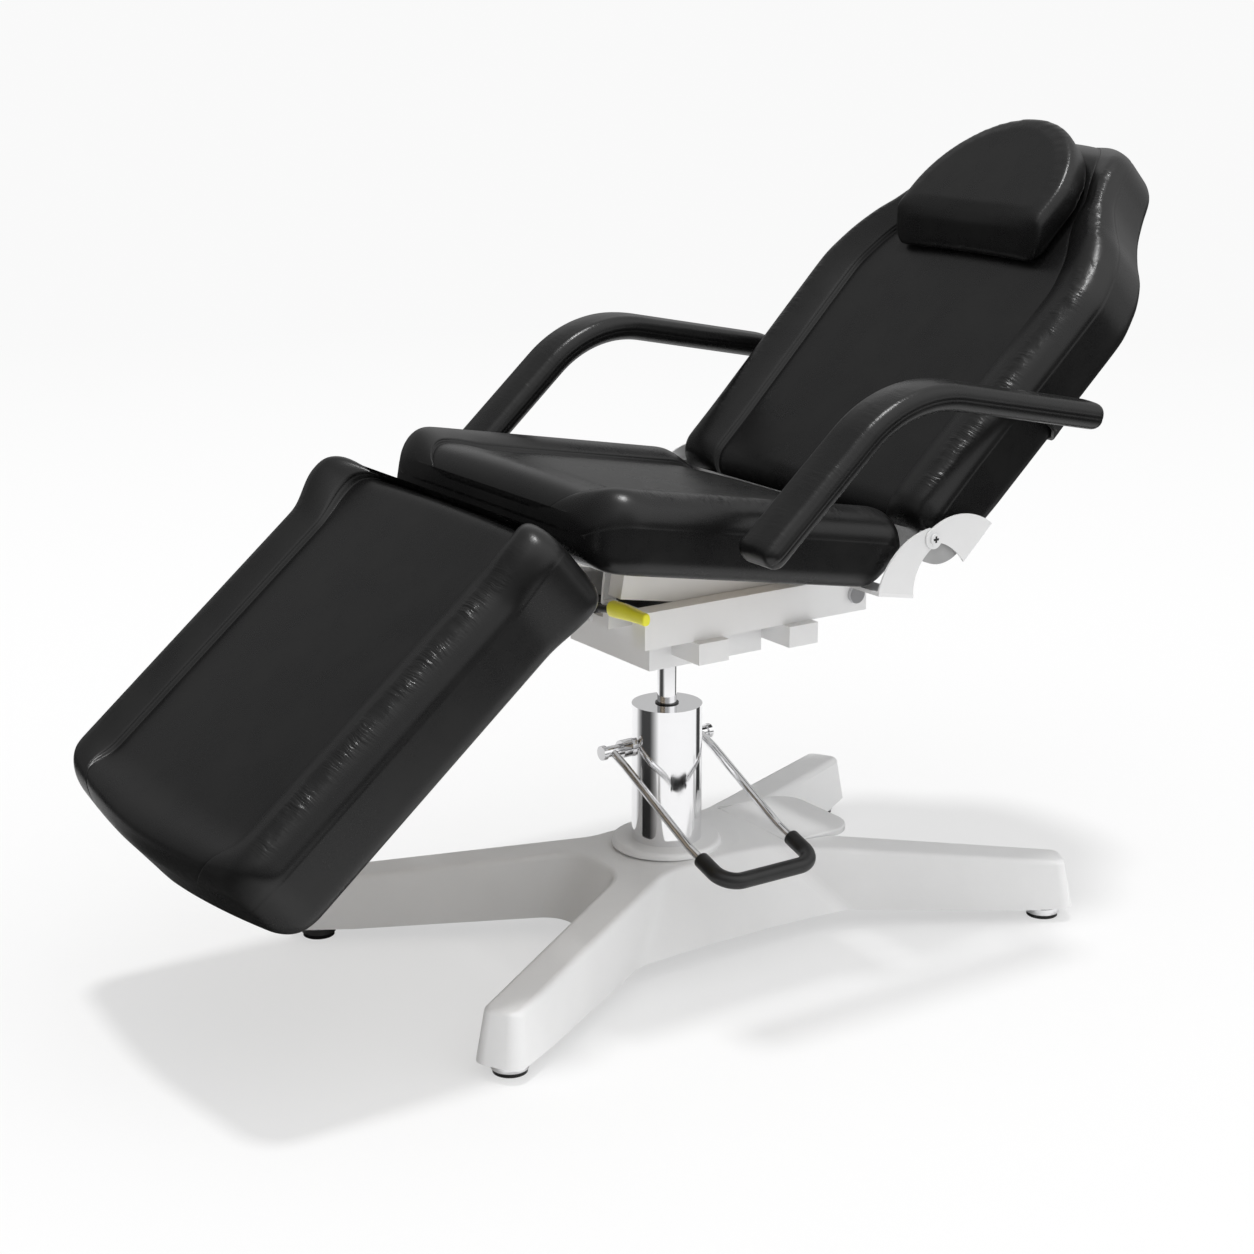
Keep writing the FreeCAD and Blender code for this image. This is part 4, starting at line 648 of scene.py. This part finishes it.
# The back from its lower end up: share of its length, then shares of its half width, of its
# thickness, of the panel's depth and of the bolsters' width.
BACK_ROWS = np.array((
    (0.000, 0.915, 0.70, 0.60, 1.00), (0.006, 0.942, 0.80, 0.80, 1.00),
    (0.022, 0.962, 0.93, 1.00, 1.00), (0.050, 0.970, 1.00, 1.00, 1.00),
    (0.110, 0.970, 1.00, 1.00, 1.00), (0.260, 0.980, 1.00, 1.00, 1.00),
    (0.480, 1.000, 1.00, 1.00, 1.00), (0.560, 1.005, 1.00, 1.00, 1.00),
    (0.635, 0.965, 1.00, 1.00, 1.00), (0.704, 0.880, 1.00, 1.00, 1.00),
    (0.756, 0.770, 1.00, 1.00, 0.80), (0.809, 0.677, 0.98, 0.90, 0.58),
    (0.864, 0.610, 0.95, 0.70, 0.58), (0.921, 0.550, 0.86, 0.25, 0.60),
    (0.951, 0.485, 0.76, 0.15, 0.60), (0.972, 0.400, 0.66, 0.10, 0.55),
    (0.987, 0.300, 0.56, 0.10, 0.45), (0.996, 0.200, 0.48, 0.10, 0.30),
    (1.000, 0.140, 0.42, 0.10, 0.20)))


def between_rows(share):
    """The back's outline at a share of its length, on a smooth curve through its rows."""
    rows = BACK_ROWS
    i = min(max(int(np.searchsorted(rows[:, 0], share, side="right")) - 1, 0), len(rows) - 2)
    span = rows[i + 1, 0] - rows[i, 0]
    t = (share - rows[i, 0]) / span

    def steep(k):
        if k == 0:
            return (rows[1] - rows[0]) / (rows[1, 0] - rows[0, 0])
        if k == len(rows) - 1:
            return (rows[-1] - rows[-2]) / (rows[-1, 0] - rows[-2, 0])
        a = (rows[k] - rows[k - 1]) / (rows[k, 0] - rows[k - 1, 0])
        b = (rows[k + 1] - rows[k]) / (rows[k + 1, 0] - rows[k, 0])
        return np.where(a * b > 0, 2 * a * b / np.where(a + b == 0, 1, a + b), 0)
    h00 = 2 * t ** 3 - 3 * t ** 2 + 1
    h10 = t ** 3 - 2 * t ** 2 + t
    h01 = 3 * t ** 2 - 2 * t ** 3
    h11 = t ** 3 - t ** 2
    return h00 * rows[i] + h10 * span * steep(i) + h01 * rows[i + 1] + h11 * span * steep(i + 1)


def back_cover():
    """The back's cushion, waisted towards the head and thinner next to the seat frame."""
    length, half, deepest = mm(720), mm(300), mm(116)
    lower, head, rest = 0.055, 0.86, 0.14
    shares = closer(lower, 8)
    shares += [lower + (head - lower) * i / 66 for i in range(66)]
    shares += [head + rest * math.sin(QUARTER * i / 20) for i in range(21)]
    rings = []
    notes = []
    for share in shares:
        _, wide, tall, deep, broad = between_rows(share)
        raised = mm(4) * (1 - smooth(share * length, mm(40), mm(120)))
        thick = deepest - raised
        room = half * wide
        bolster = mm(90) * broad
        outer = min(mm(36) * tall, bolster * 0.45)
        corner = min(mm(22), thick * tall / 4)
        points, roles = ring(room, thick * tall, mm(20) * deep, bolster, outer, corner, mm(5))
        y = share * length
        rings.append([(x, y, z + raised) for x, z in points])
        notes.append(cover_notes(points, room, bolster, outer, y, length))
    return closed_mesh("back_cover", rings, roles, notes,
                       lambda points: BACK(points + np.array([0, mm(5), mm(-82)])))


back, kinds = back_cover()
swell(back, pins(kinds), cap=mm(4))
seams(back, kinds, {"panel_seam": mm(1.1), "side_seam": mm(0.9)})
finish_cover(back, "back_rest", 0.9, "back_cushion")


def from_solid(node, name, voxel):
    """A cover on an even mesh over a padded solid."""
    source = frame["nodes"][node]
    mesh = source.data.copy()
    mesh.materials.clear()
    made = placed(name, mesh)
    made.matrix_world = source.matrix_world
    shape = made.modifiers.new("even", "REMESH")
    shape.mode = "VOXEL"
    shape.voxel_size = voxel
    graph = bpy.context.evaluated_depsgraph_get()
    done = bpy.data.meshes.new_from_object(made.evaluated_get(graph))
    made.modifiers.clear()
    made.data = done
    return made


def relax(made, rounds):
    """Even out a mesh's steps without losing its size."""
    work = bmesh.new()
    work.from_mesh(made.data)
    for _ in range(rounds):
        bmesh.ops.smooth_vert(work, verts=work.verts, factor=0.5, use_axis_x=True,
                              use_axis_y=True, use_axis_z=True)
    work.to_mesh(made.data)
    work.free()


pillow = from_solid("head_pillow", "pillow_cover", mm(4.5))
relax(pillow, 3)
swell(pillow, [], cap=mm(2.5), pressure=2.0, frames=12)
relax(pillow, 1)
finish_cover(pillow, "pillow", 0.95, "head_pillow")


# Armrests

def arm_cover(name, side):
    """A padded bar: a rounded section swept up, over its bend and back down to its pin."""
    start = Vector((0, mm(-125), mm(652.5)))
    end = Vector((0, mm(443.5), mm(780)))
    up, down = math.tan(math.radians(41.5)), math.tan(math.radians(11.5))
    knee_y = (end.z + down * end.y - start.z + up * start.y) / (up + down)
    knee = Vector((0, knee_y, start.z + up * (knee_y - start.y)))
    first = (knee - start).normalized()
    second = (end - knee).normalized()
    angle = first.angle(second)
    radius = mm(184)
    reach = radius * math.tan(angle / 2)
    run_a = (knee - start).length - reach
    arc = radius * angle
    run_b = (end - knee).length - reach
    total = run_a + arc + run_b
    centre = start + first * run_a + Vector((0, first.z, -first.y)) * radius

    def at(s):
        """The centre line's point and its direction at a distance along it."""
        if s <= run_a:
            return start + first * s, first
        if s >= run_a + arc:
            return end - second * (total - s), second
        turn = -(s - run_a) / radius
        spoke = start + first * run_a - centre
        c, n = math.cos(turn), math.sin(turn)
        spot = centre + Vector((0, spoke.y * c - spoke.z * n, spoke.y * n + spoke.z * c))
        return spot, Vector((0, first.y * c - first.z * n, first.y * n + first.z * c))

    half_x, half_z, edge, cap = mm(37), mm(18.5), mm(15), mm(16)
    count = int((total - cap * 2) / mm(7))
    places = closer(cap, 6)
    places += [cap + (total - cap * 2) * i / count for i in range(count + 1)]
    places += [total - p for p in closer(cap, 6)]
    rings = []
    notes = []
    for s in sorted(places):
        spot, along = at(s)
        upward = Vector((0, -along.z, along.y))
        pull = ease(s, cap) + ease(total - s, cap)
        wide, tall = half_x - pull, half_z - pull
        bend = max(edge - pull, mm(1.5))
        crown = mm(1.6) * (tall / half_z)
        section = []
        roles = []
        for i in range(6):
            section.append(((wide - bend) * i / 6, -tall))
            roles.append("under")
        for i in range(6):
            t = QUARTER * i / 6
            section.append((wide - bend + bend * math.sin(t), -tall + bend * (1 - math.cos(t))))
            roles.append("edge")
        low = -tall + bend
        high = tall - bend
        for i, t in enumerate((0.0, 0.06, 0.14)):
            section.append((wide, low + (high - low) * t))
            roles.append("arm_seam" if i == 1 else "side")
        for t in (0.45, 0.8):
            section.append((wide + crown * 0.3, low + (high - low) * t))
            roles.append("side")
        for i in range(7):
            t = QUARTER * i / 7
            section.append((wide - bend + bend * math.cos(t), high + bend * math.sin(t)))
            roles.append("edge")
        for i in range(6):
            t = i / 6
            section.append(((wide - bend) * (1 - t), tall + crown * math.sin(QUARTER * t)))
            roles.append("top")
        number = len(section)
        section.append((0, tall + crown))
        roles.append("top")
        for i in range(number - 1, 0, -1):
            section.append((-section[i][0], section[i][1]))
            roles.append(roles[i])
        row = []
        note = []
        for i, (x, z) in enumerate(section):
            p = spot + upward * z
            row.append((side * mm(368) + x, p.y, p.z))
            note.append((s, i * mm(5), 0.25 * smooth(z, 0, half_z)))
        rings.append(row)
        notes.append(note)
    made, kinds = closed_mesh(name, rings, roles, notes, lambda points: points)
    swell(made, [kind == "under" for kind in kinds], cap=mm(1.6), pressure=3.0, frames=12)
    seams(made, kinds, {"arm_seam": mm(0.5)})
    return made


for word, side in (("left", 1), ("right", -1)):
    pad = arm_cover("arm_cover_" + word, side)
    finish_cover(pad, word + "_arm", 0.95, "arm_pad_" + word)


# The tilt lever's paddle

def paddle():
    """A flattened yellow grip, thickest near its stem and cut off square at its far end."""
    root, tip = Vector((mm(108), mm(-172), mm(541.6))), Vector((mm(198), mm(-172), mm(544.3)))
    length = (tip - root).length
    round_end, blunt = mm(11), mm(3)
    sides = 24
    places = closer(round_end, 8)
    places += [round_end + (length - round_end - blunt) * i / 10 for i in range(11)]
    places += [length - p for p in closer(blunt, 4)]
    rings = []
    for s in sorted(places):
        taper = 1 - 0.24 * smooth(s, length * 0.2, length)
        pull = ease(s, round_end) + ease(length - s, blunt)
        tall, deep = mm(11.5) * taper - pull, mm(8.5) * taper - pull * 0.75
        row = []
        for i in range(sides):
            turn = -QUARTER + math.tau * i / sides
            c, n = math.cos(turn), math.sin(turn)
            row.append((deep * math.copysign(abs(c) ** 0.8, c), s,
                        tall * math.copysign(abs(n) ** 0.8, n)))
        row[0] = (0, s, row[0][2])
        rings.append(row)

    def place(points):
        along = np.array((tip - root) / length)
        arch = mm(1.6) * np.sin(np.pi * np.clip(points[:, 1] / length, 0, 1))
        return (np.array(root) + points[:, 1:2] * along + points[:, 0:1] * np.array((0, 1, 0))
                + (points[:, 2:3] + arch[:, None]) * np.array((0, 0, 1)))
    plain = [[(0, 0, 0)] * sides] * len(rings)
    made, _ = closed_mesh("lever_paddle", rings, ["grip"] * sides, plain, place)
    finer(made)
    made.data.materials.append(FINISH["yellow_grip"])
    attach(made, "tilt_lever")
    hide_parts("lever_grip")


paddle()


def recess_shade_crosses():
    """Black crosses standing just proud of each back hinge rivet's head: painted shade for its cross recess."""
    low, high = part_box("hinge_rivets")
    y, z = (low.y + high.y) / 2, (low.z + high.z) / 2
    long, short, proud = mm(4.6), mm(1.5), mm(0.25)
    arm = [(short, short), (short, long), (-short, long)]
    outline = []
    for c, n in ((1, 0), (0, 1), (-1, 0), (0, -1)):
        outline += [(a * c - b * n, a * n + b * c) for a, b in arm]
    count = len(outline)
    sides = [(i, (i + 1) % count, count + (i + 1) % count, count + i) for i in range(count)]
    end = [(9, 0, 3, 6), (0, 1, 2, 3), (3, 4, 5, 6), (6, 7, 8, 9), (9, 10, 11, 0)]
    other_end = [tuple(count + i for i in reversed(face)) for face in end]
    for word, inner, outer in (("left", high.x - proud, high.x + proud),
                               ("right", low.x + proud, low.x - proud)):
        mesh = bpy.data.meshes.new("recess_shade_cross_" + word)
        points = [(x, y + a, z + b) for x in (inner, outer) for a, b in outline]
        mesh.from_pydata(points, [], sides + end + other_end)
        turn_outward(mesh)
        # The black paint here is painted shade, standing in for the shadow inside the recess.
        mesh.materials.append(FINISH["black_paint"])
        made = placed("recess_shade_cross_" + word, mesh)
        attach(made, "seat")


recess_shade_crosses()


# Stage

BACKDROP = 0.95


def stage_floor():
    """A pale floor that runs into a white backdrop. For reflected rays only, its colour turns dark far off and in
    two narrow sectors: painted reflections of dark surroundings.
    """
    bpy.ops.mesh.primitive_circle_add(vertices=96, radius=60, fill_type="NGON", location=(0, 0, 0))
    floor = bpy.context.object
    floor.name = "floor"
    made, tree, shader = new_material("floor")
    shader.inputs["Roughness"].default_value = 0.8
    shader.inputs["Specular IOR Level"].default_value = 0.1
    place = tree.nodes.new("ShaderNodeTexCoord").outputs["Object"]
    length = tree.nodes.new("ShaderNodeVectorMath")
    length.operation = "LENGTH"
    link(tree, place, length.inputs[0])
    distance = length.outputs["Value"]
    unit = tree.nodes.new("ShaderNodeVectorMath")
    unit.operation = "NORMALIZE"
    link(tree, place, unit.inputs[0])
    path = tree.nodes.new("ShaderNodeLightPath")

    # Painted reflection: only glossy rays see this. The floor's colour goes dark far off and in two narrow
    # sectors, so the chrome shows dark streaks.
    dark = spread(tree, distance, 0, 1, 1.2, 2.0)
    for direction, start, end in (((-0.26, -0.97, 0), 0.72, 0.97), ((0.07, 1.0, 0), 0.97, 0.99)):
        reflected_dark_sector = spread(tree, facing(tree, unit.outputs["Vector"], direction), 0, 1, start, end)
        dark = maths(tree, "MAXIMUM", dark, reflected_dark_sector)
    dark = maths(tree, "MULTIPLY", dark, path.outputs["Is Glossy Ray"])
    link(tree, mixed(tree, dark, grey(0.88), grey(0.04)), shader.inputs["Base Color"])

    lit = tree.nodes.new("ShaderNodeBsdfDiffuse")
    lit.inputs["Color"].default_value = (*grey(0.38), 1)
    near = tree.nodes.new("ShaderNodeAddShader")
    link(tree, lit.outputs["BSDF"], near.inputs[0])
    link(tree, emission(tree, 0.53), near.inputs[1])
    sweep = spread(tree, distance, 0, 1, 1.6, 6.0)
    seen = either(tree, sweep, near.outputs["Shader"], emission(tree, BACKDROP))
    link(tree, either(tree, path.outputs["Is Camera Ray"], shader.outputs["BSDF"], seen),
         tree.nodes["Material Output"].inputs["Surface"])
    floor.data.materials.append(made)


def sun(name, energy, angle, tilt, turn):
    lamp = placed(name, bpy.data.lights.new(name, "SUN"))
    lamp.data.energy = energy
    lamp.data.angle = math.radians(angle)
    lamp.rotation_euler = (math.radians(tilt), 0, math.radians(turn))


def sky():
    """A soft sky, brighter overhead and to the sitter's left, and dark behind the camera."""
    world = bpy.data.worlds.new("studio")
    scene.world = world
    world.use_nodes = True
    tree = world.node_tree
    tree.nodes.clear()
    out = tree.nodes.new("ShaderNodeOutputWorld")
    place = tree.nodes.new("ShaderNodeTexCoord").outputs["Generated"]
    split = tree.nodes.new("ShaderNodeSeparateXYZ")
    link(tree, place, split.inputs["Vector"])
    height = spread(tree, split.outputs["Z"], 0.46, 0.95, 0.0, 0.9)
    side = spread(tree, facing(tree, place, (0.94, 0.34, 0)), 0.36, 1.25, -0.8, 0.8)
    behind = spread(tree, facing(tree, place, (0.8, -0.58, 0.1)), 1.0, 0.12, 0.7, 0.95)
    wall = spread(tree, facing(tree, place, (-0.76, 0.53, 0.38)), 0.0, 0.25, 0.93, 0.99)
    even = maths(tree, "MULTIPLY", maths(tree, "MULTIPLY", height, side), behind)
    light = tree.nodes.new("ShaderNodeBackground")
    light.inputs["Color"].default_value = (1, 1, 1, 1)
    link(tree, maths(tree, "ADD", even, wall), light.inputs["Strength"])
    plain = tree.nodes.new("ShaderNodeBackground")
    plain.inputs["Color"].default_value = (*grey(BACKDROP), 1)
    path = tree.nodes.new("ShaderNodeLightPath")
    link(tree, either(tree, path.outputs["Is Camera Ray"], light.outputs["Background"],
                      plain.outputs["Background"]), out.inputs["Surface"])


stage_floor()
sun("overhead_lamp", energy=1.6, angle=7, tilt=0, turn=0)
sun("side_lamp", energy=0.75, angle=120, tilt=70, turn=90)
sky()
scene.view_settings.view_transform = "Standard"

PHOTO_WIDTH = 1254
FOCAL_PIXELS = 2359.9
camera = placed("camera", bpy.data.cameras.new("camera"))
camera.data.sensor_width = 36
camera.data.lens = FOCAL_PIXELS / PHOTO_WIDTH * camera.data.sensor_width
camera.location = (2.6529, -1.8643, 1.3707)
camera.rotation_euler = (math.radians(90 - 15.648), 0, math.radians(55.92))
camera.data.clip_end = 200
scene.camera = camera
